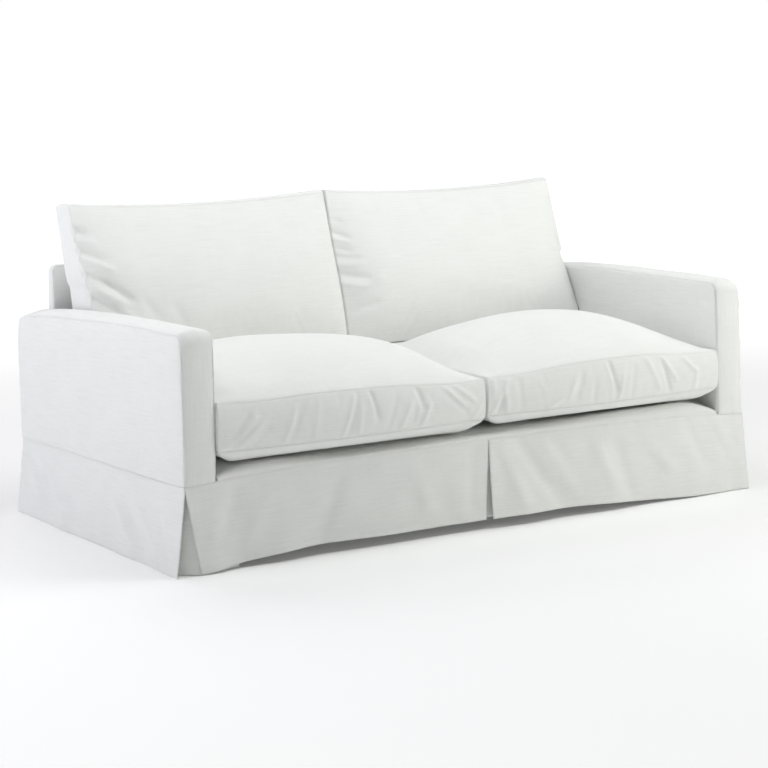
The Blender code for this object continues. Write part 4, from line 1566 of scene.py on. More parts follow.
    def corner(self, side: Side, end: float) -> Panel:
        """The piece behind a corner opening, folded round the corner in a soft bend.

        Args:
            side: which arm.
            end: -1 for the front corner, 1 for the rear one.

        Returns:
            The panel.
        """
        cover = self.cover
        edge_x = cover.outer_x(side, cover.seam_z) - self.inset
        edge_y = abs(cover.front_y) - self.inset
        turn_x, turn_y = edge_x - self.radius, edge_y - self.radius
        straight = self.leg - self.radius
        leg = mix(straight, 0.0, stations(straight, cover.coarse_step, (True, False)))
        path = [(edge_x, turn_y - far, 1.0, 0.0, far) for far in leg]
        for angle in np.radians(np.linspace(0, 90, self.turns)[1:-1]):
            out = (math.cos(angle), math.sin(angle))
            path.append((turn_x + self.radius * out[0], turn_y + self.radius * out[1], *out, 0.0))
        path += [(turn_x - far, edge_y, 0.0, 1.0, far) for far in leg[::-1]]
        x, y, out_x, out_y, far = (np.array(path)[None, :, k] for k in range(5))
        down = stations(self.corner_height, cover.coarse_step)[:, None]
        most = self.CORNER_FLARE[side][0 if end < 0 else 1]
        flare = mix(most, self.least_flare, ease(far / straight)) * down
        z = mix(*self.corner_z, down)
        grid = grid_of(side.value * (x + out_x * flare), end * (y + out_y * flare), z)
        word = "front" if end < 0 else "rear"
        relief = Relief(rumple=0.0004, rumple_size=0.09, seed=57)
        return self.hung(f"underlay_{word}_{side.word}", grid, (side.value, end, 0), relief)

    def centre(self) -> Panel:
        """The piece behind the slit in the middle of the front.

        Returns:
            The panel.
        """
        cover = self.cover
        share = stations(self.centre_size, cover.coarse_step)
        down, half = share[:, None], self.centre_size / 2
        x = mix(-half, half, share)[None, :] + self.slit_top_x / 2
        y = cover.front_y + self.inset - self.flare * down
        grid = grid_of(x, y, mix(*self.centre_z, down))
        relief = Relief(rumple=0.0003, rumple_size=0.09, seed=59)
        return self.hung("underlay_centre", grid, (0, -1, 0), relief)

    def hem_line(self, panel: Panel) -> np.ndarray:
        """Where a finished panel's hem is stitched, on its outer face.

        Args:
            panel: a panel that has been built.

        Returns:
            Places along the line of stitches.
        """
        face, height = panel.face[::-1], self.heights(panel.face)[::-1]
        columns = range(self.stitched_from, face.shape[1] - self.stitched_from)
        return np.array([
            [np.interp(self.hem_depth, height[:, j], face[:, j, k]) for k in range(3)]
            for j in columns
        ])

    def build(self, out: "Wardrobe") -> list[np.ndarray]:
        """Args:
            out: what makes sheets.

        Returns:
            One line of places for each stitched hem.
        """
        hems = []
        for side in Side:
            band, arm = "arm_band_" + side.word, "arm_outer_" + side.word
            hems += [self.front(side), self.beside(side)]
            out.sheet(hems[-2], "hung", band, "deck")
            out.sheet(hems[-1], "hung", arm)
            for end in (-1.0, 1.0):
                out.sheet(self.corner(side, end), "hung", arm)
        hems.append(self.behind())
        out.sheet(hems[-1], "hung", "back_outer")
        out.sheet(self.centre(), "hung", "deck")
        return [self.hem_line(panel) for panel in hems]


@dataclass(frozen=True)
class HemStitches:
    """The thread that holds up the hems: one small stitch after another along each line."""

    thread: bpy.types.Material
    pitch: float = 0.0044
    length: float = 0.0031
    thickness: float = 0.0007
    uneven: float = 0.12
    seed: int = 7

    # The modifier's inputs: name, socket type and the field that sets each.
    INPUTS = (
        ("Pitch", "NodeSocketFloat", "pitch"),
        ("Stitch Length", "NodeSocketFloat", "length"),
        ("Thickness", "NodeSocketFloat", "thickness"),
        ("Unevenness", "NodeSocketFloat", "uneven"),
        ("Seed", "NodeSocketInt", "seed"),
        ("Thread", "NodeSocketMaterial", "thread"),
    )

    def lines(self, routes: list[np.ndarray]) -> bpy.types.Object:
        """One curve object with a spline for each hem.

        Args:
            routes: the places that each line goes through.

        Returns:
            The curve object.
        """
        data = bpy.data.curves.new("hem_stitches", "CURVE")
        data.dimensions = "3D"
        for route in routes:
            spline = data.splines.new("POLY")
            spline.points.add(len(route) - 1)
            flat = np.column_stack([route, np.ones(len(route))])
            spline.points.foreach_set("co", flat.reshape(-1))
        return Workroom.link(bpy.data.objects.new("hem_stitches", data))

    def tree(self) -> bpy.types.NodeTree:
        """The node tree that lays the stitches along the curves.

        Returns:
            The tree, with this class's sizes as its inputs.
        """
        tree = bpy.data.node_groups.new("hem_stitches", "GeometryNodeTree")
        for way in ("INPUT", "OUTPUT"):
            tree.interface.new_socket("Geometry", in_out=way, socket_type="NodeSocketGeometry")
        for name, kind, _ in self.INPUTS:
            tree.interface.new_socket(name, in_out="INPUT", socket_type=kind)
        nodes = Nodes(tree)
        start = tree.nodes.new("NodeGroupInput")
        given = {socket.name: Socket(nodes, socket) for socket in start.outputs if socket.name}
        points = nodes.node(
            "GeometryNodeCurveToPoints", {"mode": "LENGTH"},
            {"Curve": given["Geometry"], "Length": given["Pitch"]}, "Points",
        )
        turn = nodes.node(
            "FunctionNodeAlignRotationToVector", {"axis": "Z"}, {"Vector": points.beside("Tangent")}
        )
        size = nodes.node(
            "FunctionNodeRandomValue", {"data_type": "FLOAT"},
            {2: 1 - given["Unevenness"], 3: given["Unevenness"] + 1, "Seed": given["Seed"]}, 1,
        )
        scale = nodes.node(
            "ShaderNodeCombineXYZ", {},
            {"X": given["Thickness"], "Y": given["Thickness"], "Z": given["Stitch Length"] * size},
        )
        stitch = nodes.node(
            "GeometryNodeMeshUVSphere", {}, {"Segments": 6, "Rings": 4, "Radius": 0.5}, "Mesh"
        )
        laid = nodes.node(
            "GeometryNodeInstanceOnPoints", {},
            {"Points": points, "Instance": stitch, "Rotation": turn, "Scale": scale},
        )
        real = nodes.node("GeometryNodeRealizeInstances", {}, {"Geometry": laid})
        dressed = nodes.node(
            "GeometryNodeSetMaterial", {}, {"Geometry": real, "Material": given["Thread"]}
        )
        nodes.fill(tree.nodes.new("NodeGroupOutput"), {"Geometry": dressed})
        return tree

    def build(self, routes: list[np.ndarray]) -> bpy.types.Object:
        """Sews the hems.

        Args:
            routes: the places that each line of stitches goes through.

        Returns:
            One plain mesh with all the stitches, riding with the cover.
        """
        curves = self.lines(routes)
        tree = self.tree()
        sewing = curves.modifiers.new("stitches", "NODES")
        sewing.node_group = tree
        keys = {
            item.name: item.identifier
            for item in tree.interface.items_tree
            if item.in_out == "INPUT"
        }
        for name, _, field in self.INPUTS:
            sewing[keys[name]] = getattr(self, field)
        graph = bpy.context.evaluated_depsgraph_get()
        mesh = bpy.data.meshes.new_from_object(curves.evaluated_get(graph), depsgraph=graph)
        data = curves.data
        bpy.data.objects.remove(curves)
        bpy.data.curves.remove(data)
        mesh.polygons.foreach_set("use_smooth", np.ones(len(mesh.polygons), bool))
        obj = Workroom.link(bpy.data.objects.new("hem_stitches", mesh))
        return Workroom.hand_over(obj, Slot.COVER, self.thread)


@dataclass(frozen=True)
class BoxedShape:
    """A box cushion: two faces and the boxing between their seams.

    outward is the step that a full bulge makes at each border point, and plane names
    the two coordinates that the cloth's threads follow on the two faces.
    """

    node: str
    top: Grid
    base: Grid
    outward: np.ndarray
    levels: np.ndarray
    plane: tuple[int, int]
    # How far the painted shade beside a seam reaches.
    shadow_width: float
    held_width: float = 0.0050

    # Fullness of the boxing. Columns: share of the way down, share of the bulge.
    FULLNESS = ((0.0, 0.0), (0.12, 0.62), (0.38, 1.0), (0.66, 0.95), (0.90, 0.52), (1.0, 0.0))

    def border(self) -> list[tuple[int, int]]:
        """Grid places once round the border.

        Returns:
            Row and column of each place, in order.
        """
        rows, columns, _ = self.top.shape
        path = [(i, 0) for i in range(rows - 1)]
        path += [(rows - 1, j) for j in range(columns - 1)]
        path += [(i, columns - 1) for i in range(rows - 1, 0, -1)]
        return path + [(0, j) for j in range(columns - 1, 0, -1)]

    def build(self) -> tuple[bpy.types.Object, np.ndarray]:
        """Makes the closed mesh.

        Returns:
            The object, and the numbers of the points beside its seams. Each point also
            notes its place before puffing, and down, 0 on the top face and 1 on the base.
        """
        rows, columns, _ = self.top.shape
        border = self.border()
        under, count = rows * columns, len(border)
        cells = cells_of(rows, columns).reshape(-1, 4)
        at = tuple(np.array(border).T)
        points = [self.top.reshape(-1, 3), self.base.reshape(-1, 3)]
        rings = [np.ravel_multi_index(at, (rows, columns))]
        for number, down in enumerate(self.levels[1:-1]):
            full = float(curve(self.FULLNESS, down))
            points.append(mix(self.top[at], self.base[at], down) + self.outward[at] * full)
            rings.append(np.arange(count) + 2 * under + number * count)
        rings.append(rings[0] + under)
        points = np.concatenate(points)
        faces = [cells, cells[:, ::-1] + under]
        for upper, lower in zip(rings[:-1], rings[1:]):
            faces.append(np.stack([upper, lower, np.roll(lower, -1), np.roll(upper, -1)], -1))
        faces = np.concatenate(faces)
        if (facing(points, faces) * points[faces].sum(1)).sum() < 0:
            faces = faces[:, ::-1]
        uv = self.flat_map(points, faces, rings, cells, under)
        seam = nearest_of(points, np.concatenate([rings[0], rings[-1]]))[0]
        # Painted shade beside the seams; the same weight also sets how deep the seam grooves go.
        near = np.exp(-seam / self.shadow_width)
        name = "filled_" + self.node
        obj = Workroom.mesh(name, points, [tuple(face) for face in faces], uv, near)
        around = np.repeat(self.levels[1:-1], count)
        Workroom.note(obj, "rest", points)
        Workroom.note(obj, "down", np.concatenate([np.zeros(under), np.ones(under), around]))
        return obj, np.flatnonzero(seam < self.held_width)

    def flat_map(
        self,
        points: np.ndarray,
        faces: np.ndarray,
        rings: list[np.ndarray],
        cells: np.ndarray,
        under: int,
    ) -> np.ndarray:
        """UV pairs in metres for each face corner, panel by panel.

        Args:
            points: all the points.
            faces: point numbers of all the faces.
            rings: point numbers of the boxing's rows.
            cells: point numbers of the top face's cells.
            under: how many points the top face has.

        Returns:
            One pair for each face corner.
        """
        corner = faces.reshape(-1)
        uv = points[corner][:, list(self.plane)]
        first = points[rings[0]]
        steps = np.linalg.norm(np.roll(first, -1, 0) - first, axis=1)
        run = np.concatenate([[0.0], np.cumsum(steps)])
        count = len(rings[0])
        boxing = faces[2 * len(cells) :].reshape(len(rings) - 1, count, 4)
        drop = np.linalg.norm(points[rings[0]] - points[rings[-1]], axis=1).mean()
        flipped = bool((faces[0] == cells[0][::-1]).all())
        order = range(3, -1, -1) if flipped else range(4)
        side = np.zeros((*boxing.shape, 2))
        for level in range(len(rings) - 1):
            high, low = self.levels[level] * drop, self.levels[level + 1] * drop
            here, after = run[:-1], run[1:]
            turns = ((here, high), (here, low), (after, low), (after, high))
            for slot, (u, v) in zip(order, turns):
                side[level, :, slot, 0] = u
                side[level, :, slot, 1] = v
        uv[len(corner) - side.size // 2 :] = side.reshape(-1, 2)
        return uv


@dataclass(frozen=True)
class Filling:
    """How a cushion is puffed up by the simulation."""

    pressure: float = 4.0
    frames: int = 20
    cap: float = 0.005
    spare_cloth: float = 0.002
    stiffness: float = 12.0
    shear: float = 4.0
    bending: float = 0.4
    mass: float = 0.25
    quality: int = 6

    def add(self, obj: bpy.types.Object, beside_seams: np.ndarray) -> None:
        """Gives a cushion its cloth modifier, held at its seams.

        Args:
            obj: the cushion.
            beside_seams: numbers of the points that are held.
        """
        held = obj.vertex_groups.new(name="held")
        held.add([int(k) for k in beside_seams], 1.0, "REPLACE")
        cloth = obj.modifiers.new("filling", "CLOTH")
        settings = cloth.settings
        settings.quality = self.quality
        settings.mass = self.mass
        settings.tension_stiffness = settings.compression_stiffness = self.stiffness
        settings.shear_stiffness = self.shear
        settings.bending_stiffness = self.bending
        settings.use_pressure = True
        settings.uniform_pressure_force = self.pressure
        settings.shrink_min = -self.spare_cloth
        settings.effector_weights.gravity = 0.0
        settings.vertex_group_mass = "held"
        settings.pin_stiffness = 1.0
        cloth.collision_settings.use_collision = False
        cloth.point_cache.frame_start = 1
        cloth.point_cache.frame_end = self.frames

    def read(self, obj: bpy.types.Object) -> None:
        """Takes the simulated shape, with no point moved further than the cap.

        Args:
            obj: the cushion.
        """
        graph = bpy.context.evaluated_depsgraph_get()
        mesh = obj.evaluated_get(graph).to_mesh()
        puffed = Workroom.vectors(mesh.vertices, "co")
        obj.evaluated_get(graph).to_mesh_clear()
        rest = Workroom.points_of(obj)
        move = puffed - rest
        size = np.linalg.norm(move, axis=1, keepdims=True)
        limit = self.cap * np.tanh(size / self.cap) / np.maximum(size, 1e-9)
        obj.modifiers.clear()
        Workroom.set_points(obj, rest + move * limit)


@dataclass
class Cushion:
    """What seat and back cushions share."""

    cover: Cover
    side: Side
    cloth: bpy.types.Material
    step: float = 0.0100
    clearance: float = 0.004
    half_gap: float = 0.0050
    seam_depth: float = 0.0036
    fill: float = 0.6

    KIND = ""

    @property
    def node(self) -> str:
        """The solid that the cushion stands for."""
        return self.KIND + self.side.word

    def shape(self) -> BoxedShape:
        """The cushion's form before it is puffed up."""
        raise NotImplementedError

    def creases(self, rest: np.ndarray, down: np.ndarray) -> np.ndarray:
        """How far each point moves along its normal for the listed creases.

        Args:
            rest: each point's place before the cushion was puffed up.
            down: 0 on the top or front face, 1 on the other, between them on the boxing.

        Returns:
            Distances, positive outwards.
        """
        raise NotImplementedError

    def finish(self, obj: bpy.types.Object) -> bpy.types.Object:
        """One subdivision, then creases and seam grooves.

        Args:
            obj: the puffed cushion.

        Returns:
            The finished piece.
        """
        Workroom.refine(obj)
        points = Workroom.points_of(obj)
        normals = Workroom.vectors(obj.data.vertices, "normal")
        move = self.creases(Workroom.noted(obj, "rest"), Workroom.noted(obj, "down"))
        # The seam weight, which also carries painted shade, sets the depth of the seam grooves.
        move -= self.seam_depth * Workroom.noted(obj, "seam")
        Workroom.set_points(obj, points + normals * move[:, None])
        for name in ("rest", "down"):
            obj.data.attributes.remove(obj.data.attributes[name])
        Workroom.hand_over(obj, Slot.CUSHION, self.cloth, self.node)
        return obj


@dataclass
class SeatCushion(Cushion):
    """One seat cushion, full in the middle and pressed flat under the back cushion."""

    seam_width: float = 0.840
    seam_run: float = 0.920
    boxing_step: float = 0.010
    rests_at: float = 0.0003
    crease_within: float = 0.004
    crease_fade: float = 0.10
    shadow_width: float = 0.0032
    front_y: float = -0.528
    front_bow: float = 0.020
    rear_top_y: float = 0.398
    rear_low_y: float = 0.352
    rear_seam_z: float = 0.436
    front_border: float = 0.040
    side_border: float = 0.060
    rests_from: float = 0.16
    rests_by: float = 0.36
    front_bulge: float = 0.008
    boxing_height: float = 0.130
    step: float = 0.0095
    step_along: float = 0.016
    rear_bulge: float = 0.006

    KIND = "seat_cushion_"
    LOW_SEAM_Z = {Side.LEFT: 0.311, Side.RIGHT: 0.318}
    BASE_Z = {Side.LEFT: 0.280, Side.RIGHT: 0.289}
    CROWN = {Side.LEFT: 0.121, Side.RIGHT: 0.114}
    # Columns: share of the width, height of the front seam over the floor.
    TOP_SEAM = {
        Side.LEFT: (
            (0.0, 0.443), (0.08, 0.438), (0.35, 0.442), (0.65, 0.437), (0.92, 0.425), (1.0, 0.429),
        ),
        Side.RIGHT: (
            (0.0, 0.431), (0.08, 0.429), (0.35, 0.444), (0.65, 0.447), (0.92, 0.433), (1.0, 0.435),
        ),
    }
    # Columns: share of the width, or of the depth, and share of the full crown there.
    CROWN_ACROSS = {
        Side.LEFT: (
            (0.0, 0.0), (0.05, 0.62), (0.12, 0.88), (0.28, 1.0), (0.5, 0.96), (0.7, 0.86),
            (0.84, 0.71), (0.93, 0.47), (1.0, 0.0),
        ),
        Side.RIGHT: (
            (0.0, 0.0), (0.05, 0.45), (0.12, 0.68), (0.28, 0.9), (0.45, 1.0), (0.62, 0.94),
            (0.78, 0.76), (0.9, 0.5), (0.96, 0.28), (1.0, 0.0),
        ),
    }
    CROWN_ALONG = (
        (0.0, 0.0), (0.02, 0.13), (0.05, 0.26), (0.1, 0.45), (0.18, 0.72), (0.26, 0.92),
        (0.33, 1.0), (0.42, 0.96), (0.54, 0.72), (0.64, 0.36), (0.72, 0.13), (0.82, 0.09),
        (1.0, 0.0),
    )
    # Folds of the front boxing, as lines over shares of the width and of the way down.
    BOXING = {
        Side.LEFT: Folds((
            (0.022, 0.95, 0.12, 0.35, 9, 4.5), (0.06, 0.98, 0.15, 0.45, 8, 4),
            (0.045, 0.8, 0.1, 0.3, 10, -4.5), (0.105, 1, 0.165, 0.62, 8, -3),
            (0.228, 0.9, 0.262, 0.25, 9, 3.6), (0.25, 0.85, 0.28, 0.3, 11, -3.4),
            (0.33, 0.85, 0.345, 0.3, 10, 2.2), (0.435, 0.98, 0.475, 0.2, 8, 4.2),
            (0.452, 0.9, 0.49, 0.15, 10, -4.2), (0.492, 0.95, 0.5, 0.4, 8, 3.4),
            (0.535, 0.05, 0.563, 0.62, 10, -6.2), (0.528, 0.02, 0.548, 0.45, 7, 3.6),
            (0.6, 0.95, 0.63, 0.35, 9, -3), (0.655, 0.92, 0.69, 0.4, 8, 3.8),
            (0.722, 0.1, 0.742, 0.5, 10, -6.2), (0.735, 0.95, 0.765, 0.45, 8, 4.6),
            (0.7, 0.8, 0.715, 0.4, 8, -3), (0.835, 0.1, 0.905, 0.55, 9, 4.2),
            (0.875, 0.05, 0.95, 0.48, 8, 3.6), (0.85, 0.3, 0.915, 0.7, 10, -3.6),
            (0.94, 0.98, 0.975, 0.65, 9, 3),
        )),
        Side.RIGHT: Folds((
            (0.012, 0.95, 0.075, 0.15, 9, 4.8), (0.075, 0.98, 0.065, 0.45, 9, 4.6),
            (0.04, 0.85, 0.055, 0.4, 9, -5), (0.022, 0.05, 0.02, 0.5, 10, 3),
            (0.13, 0.85, 0.12, 0.2, 11, -2.6), (0.24, 0.95, 0.33, 0.55, 9, 4),
            (0.32, 0.75, 0.352, 0.25, 9, 3.6), (0.35, 0.8, 0.375, 0.3, 10, -3.4),
            (0.425, 0.9, 0.43, 0.5, 9, -2.4), (0.492, 0.12, 0.52, 0.72, 10, -6.6),
            (0.48, 0.1, 0.506, 0.6, 7, 3.6), (0.535, 0.92, 0.55, 0.4, 8, 3.6),
            (0.59, 0.85, 0.6, 0.3, 10, -2.8), (0.66, 0.1, 0.715, 0.75, 10, 3.4),
            (0.73, 0.25, 0.765, 0.85, 9, -5.6), (0.735, 0.1, 0.79, 0.6, 8, 4.4),
            (0.83, 0.08, 0.88, 0.4, 8, 3.4), (0.885, 0.9, 0.89, 0.45, 9, 3.2),
        )),
    }

    def edges(self, z: Number) -> tuple[Number, Number]:
        """The x of the cushion's left and right ends at a height.

        Args:
            z: the height.

        Returns:
            The x of the left end and of the right end.
        """
        outer = self.side.value * (self.cover.inner_x(self.side, z) - self.clearance)
        inner = self.side.value * self.half_gap
        return (outer, inner) if self.side is Side.LEFT else (inner, outer)

    def shape(self) -> BoxedShape:
        """The cushion's form before it is puffed up.

        Returns:
            The closed shape.
        """
        side = self.side
        u = stations(self.seam_width, self.step)[:, None]
        v = stations(self.seam_run, self.step_along)[None, :]
        seam = mix(curve(self.TOP_SEAM[side], u), self.rear_seam_z, v)
        crown = curve(self.CROWN_ACROSS[side], u) * curve(self.CROWN_ALONG, v)
        left, right = self.edges(seam)
        bow = self.front_bow * np.sin(u * math.pi)
        y = mix(self.front_y - bow, self.rear_top_y, v)
        top = grid_of(mix(left, right, u), y, seam + self.CROWN[side] * crown)
        from_side = np.minimum(u, 1 - u) * self.cover.half_width / self.side_border
        from_front = np.minimum(v, 1 - v) * 2 * abs(self.cover.front_y) / self.front_border
        drop = np.sin(np.clip(np.minimum(from_side, from_front), 0, 1) * math.pi / 2)
        low_seam = self.LOW_SEAM_Z[side]
        left, right = self.edges(low_seam)
        y = mix(self.front_y - bow, self.rear_low_y, v)
        rests = np.clip((v - self.rests_from) / (self.rests_by - self.rests_from), 0, 1)
        flat_z = self.cover.deck_z + self.rests_at
        z = mix(low_seam, mix(self.BASE_Z[side], flat_z, rests), drop)
        base = grid_of(mix(left, right, u), y, z)
        outward = np.zeros_like(top)
        outward[:, 0, 1] = -self.front_bulge
        outward[:, -1, 1] = self.rear_bulge
        levels = stations(self.boxing_height, self.boxing_step)
        return BoxedShape(self.node, top, base, outward, levels, (0, 1), self.shadow_width)

    def creases(self, rest: np.ndarray, down: np.ndarray) -> np.ndarray:
        """The folds pressed into the front boxing.

        Args:
            rest: each point's place before the cushion was puffed up.
            down: 0 on the top face, 1 on the base.

        Returns:
            Distances, positive outwards.
        """
        width, height = self.cover.half_width, self.boxing_height
        low, high = rest[:, 0].min(), rest[:, 0].max()
        u = (rest[:, 0] - low) / (high - low)
        front = rest[:, 1] < self.front_y + self.crease_within
        hold = ease(down / self.crease_fade) * ease((1 - down) / self.crease_fade) * front
        size = (width, height)
        return self.BOXING[self.side].relief(u * width, down * height, size) * hold


@dataclass
class BackCushion(Cushion):
    """One back cushion, leaning on the low back."""

    seam_width: float = 0.850
    seam_height: float = 0.480
    boxing_height: float = 0.110
    boxing_step: float = 0.011
    crease_fade: float = 0.15
    shadow_width: float = 0.0016
    over_arm_z: float = 0.690
    top_dip: float = 0.019
    dip_across: float = 0.8
    dip_up: int = 3
    rear_top_drop: float = 0.010
    front_crown: float = 0.062
    rear_crown: float = 0.1020
    top_bulge: float = 0.008
    inner_sag: float = 0.009
    sag_width: float = 0.12
    sag_power: int = 4
    seam_depth: float = 0.0026

    KIND = "back_cushion_"
    LOW_BULGE = {Side.LEFT: 0.0039, Side.RIGHT: 0.0022}
    # Columns: z, y of the front seam at the left cushion's outer end, at the right
    # cushion's outer end and where they meet, y of the rear seam, outer half width.
    ROWS = (
        (0.4522, 0.165, 0.121, 0.195, 0.327, 0.847), (0.52, 0.186, 0.148, 0.208, 0.34, 0.847),
        (0.64, 0.228, 0.204, 0.24, 0.362, 0.848), (0.74, 0.255, 0.259, 0.274, 0.384, 0.856),
        (0.84, 0.302, 0.296, 0.303, 0.404, 0.8585), (0.922, 0.326, 0.326, 0.325, 0.424, 0.859),
    )
    CROWN_ACROSS = (
        (0.0, 0.0), (0.04, 0.42), (0.1, 0.72), (0.25, 0.94), (0.5, 1.0), (0.75, 0.94), (0.9, 0.72),
        (0.96, 0.42), (1.0, 0.0),
    )
    CROWN_UP = (
        (0.0, 0.0), (0.06, 0.42), (0.16, 0.78), (0.32, 1.0), (0.5, 0.97), (0.7, 0.76), (0.86, 0.45),
        (0.95, 0.19), (1.0, 0.0),
    )
    REAR_CROWN_UP = (
        (0.0, 0.0), (0.1, 0.3), (0.28, 0.72), (0.42, 0.96), (0.52, 1.0), (0.66, 0.8), (0.86, 0.34),
        (1.0, 0.0),
    )
    # Half of the gap between the two cushions, at a height.
    GAP = ((0.45, 0.0012), (0.70, 0.0014), (0.80, 0.0018), (0.88, 0.0028), (0.922, 0.0042))
    # Folds of the face, as lines over (x, z) in metres.
    FACE = {
        Side.LEFT: Folds((
            (-0.857, 0.85, -0.83, 0.842, 14, -11), (-0.857, 0.822, -0.815, 0.815, 8, 6),
            (-0.857, 0.795, -0.8, 0.772, 14, -13), (-0.85, 0.768, -0.785, 0.738, 9, 8.5),
            (-0.857, 0.732, -0.8, 0.7, 14, -12), (-0.8, 0.7, -0.745, 0.655, 13, -12.5),
            (-0.84, 0.69, -0.78, 0.65, 10, 6.5), (-0.84, 0.66, -0.785, 0.622, 13, -11),
            (-0.8, 0.64, -0.745, 0.6, 10, 5.5), (-0.7, 0.64, -0.665, 0.59, 16, -4),
            (-0.61, 0.62, -0.585, 0.57, 16, -3), (-0.5, 0.87, -0.42, 0.84, 30, 2),
        )),
        Side.RIGHT: Folds((
            (0.004, 0.838, 0.032, 0.826, 9, -3.5), (0.004, 0.796, 0.04, 0.78, 9, -5),
            (0.004, 0.776, 0.045, 0.764, 7, 3.6), (0.004, 0.748, 0.038, 0.738, 8, -4),
            (0.004, 0.722, 0.055, 0.716, 9, -6), (0.004, 0.696, 0.062, 0.7, 8, 4.2),
            (0.006, 0.668, 0.07, 0.656, 11, -7), (0.004, 0.64, 0.055, 0.634, 8, 3.6),
            (0.03, 0.62, 0.11, 0.655, 12, 4.5), (0.03, 0.56, 0.085, 0.58, 11, -4.5),
            (0.36, 0.6, 0.45, 0.57, 30, -2),
        )),
    }

    def shape(self) -> BoxedShape:
        """The cushion's form before it is puffed up.

        Returns:
            The closed shape.
        """
        side, rows = self.side, self.ROWS
        u = stations(self.seam_width, self.step)[:, None]
        v = stations(self.seam_height, self.step)[None, :]
        low, high = rows[0][0], rows[-1][0]
        outer_u = 1 - u if side is Side.LEFT else u
        z = mix(low, high, v)
        dip = self.top_dip * np.sin(u * math.pi) ** self.dip_across * v**self.dip_up
        half = curve(column(rows, 5), z)
        between = self.cover.inner_x(side, z) - self.clearance
        half = np.where(z < self.over_arm_z, np.minimum(half, between), half)
        x = side.value * mix(curve(self.GAP, z), half, outer_u)
        push = self.front_crown * curve(self.CROWN_ACROSS, u) * curve(self.CROWN_UP, v)
        lean = math.atan2(rows[-1][1] - rows[0][1], high - low)
        outer_y = curve(column(rows, 1 if side is Side.LEFT else 2), z)
        front_y = mix(curve(column(rows, 3), z), outer_y, outer_u)
        sag = self.inner_sag * bump(x, self.sag_width) * (1 - v) ** self.sag_power
        front_z = z - dip - sag + math.sin(lean) * push
        front = grid_of(x, front_y - math.cos(lean) * push, front_z)
        push = self.rear_crown * curve(self.CROWN_ACROSS, u) * curve(self.REAR_CROWN_UP, v)
        rear_y = curve(column(rows, 4), z)
        rear = grid_of(x, rear_y + push, z - dip - self.rear_top_drop * v)
        outward = np.zeros_like(front)
        outward[:, -1, 2] = self.top_bulge
        outward[:, 0, 2] = -self.LOW_BULGE[side]
        levels = stations(self.boxing_height, self.boxing_step)
        return BoxedShape(self.node, front, rear, outward, levels, (0, 2), self.shadow_width)

    def creases(self, rest: np.ndarray, down: np.ndarray) -> np.ndarray:
        """The folds that run in from the left end of the cushion's face.

        Args:
            rest: each point's place before the cushion was puffed up.
            down: 0 on the front face, 1 on the rear.

        Returns:
            Distances, positive outwards.
        """
        face = 1 - ease(down / self.crease_fade)
        return self.FACE[self.side].relief(rest[:, 0], rest[:, 2]) * face


class Wardrobe:
    def __init__(self, cloth: bpy.types.Material) -> None:
        """Starts with the cloth that all the sheets are cut from."""
        self.cloth = cloth

    def sheet(
        self, panel: Panel, held: str, *rests_on: str, area: Optional[float] = None
    ) -> bpy.types.Object:
        """Args:
            panel: the panel.
            held: how it is held; not used.
            rests_on: what it hangs from or is sewn to; not used.
            area: its flat area, where the cut isn't a rectangle; not used.

        Returns:
            The piece.
        """
        obj = Workroom.hand_over(panel.build(), Slot.COVER, self.cloth, panel.node)
        flat = panel.flat()
        LOG.info("%s is cut %.3f x %.3f m", panel.node, *flat)
        return obj


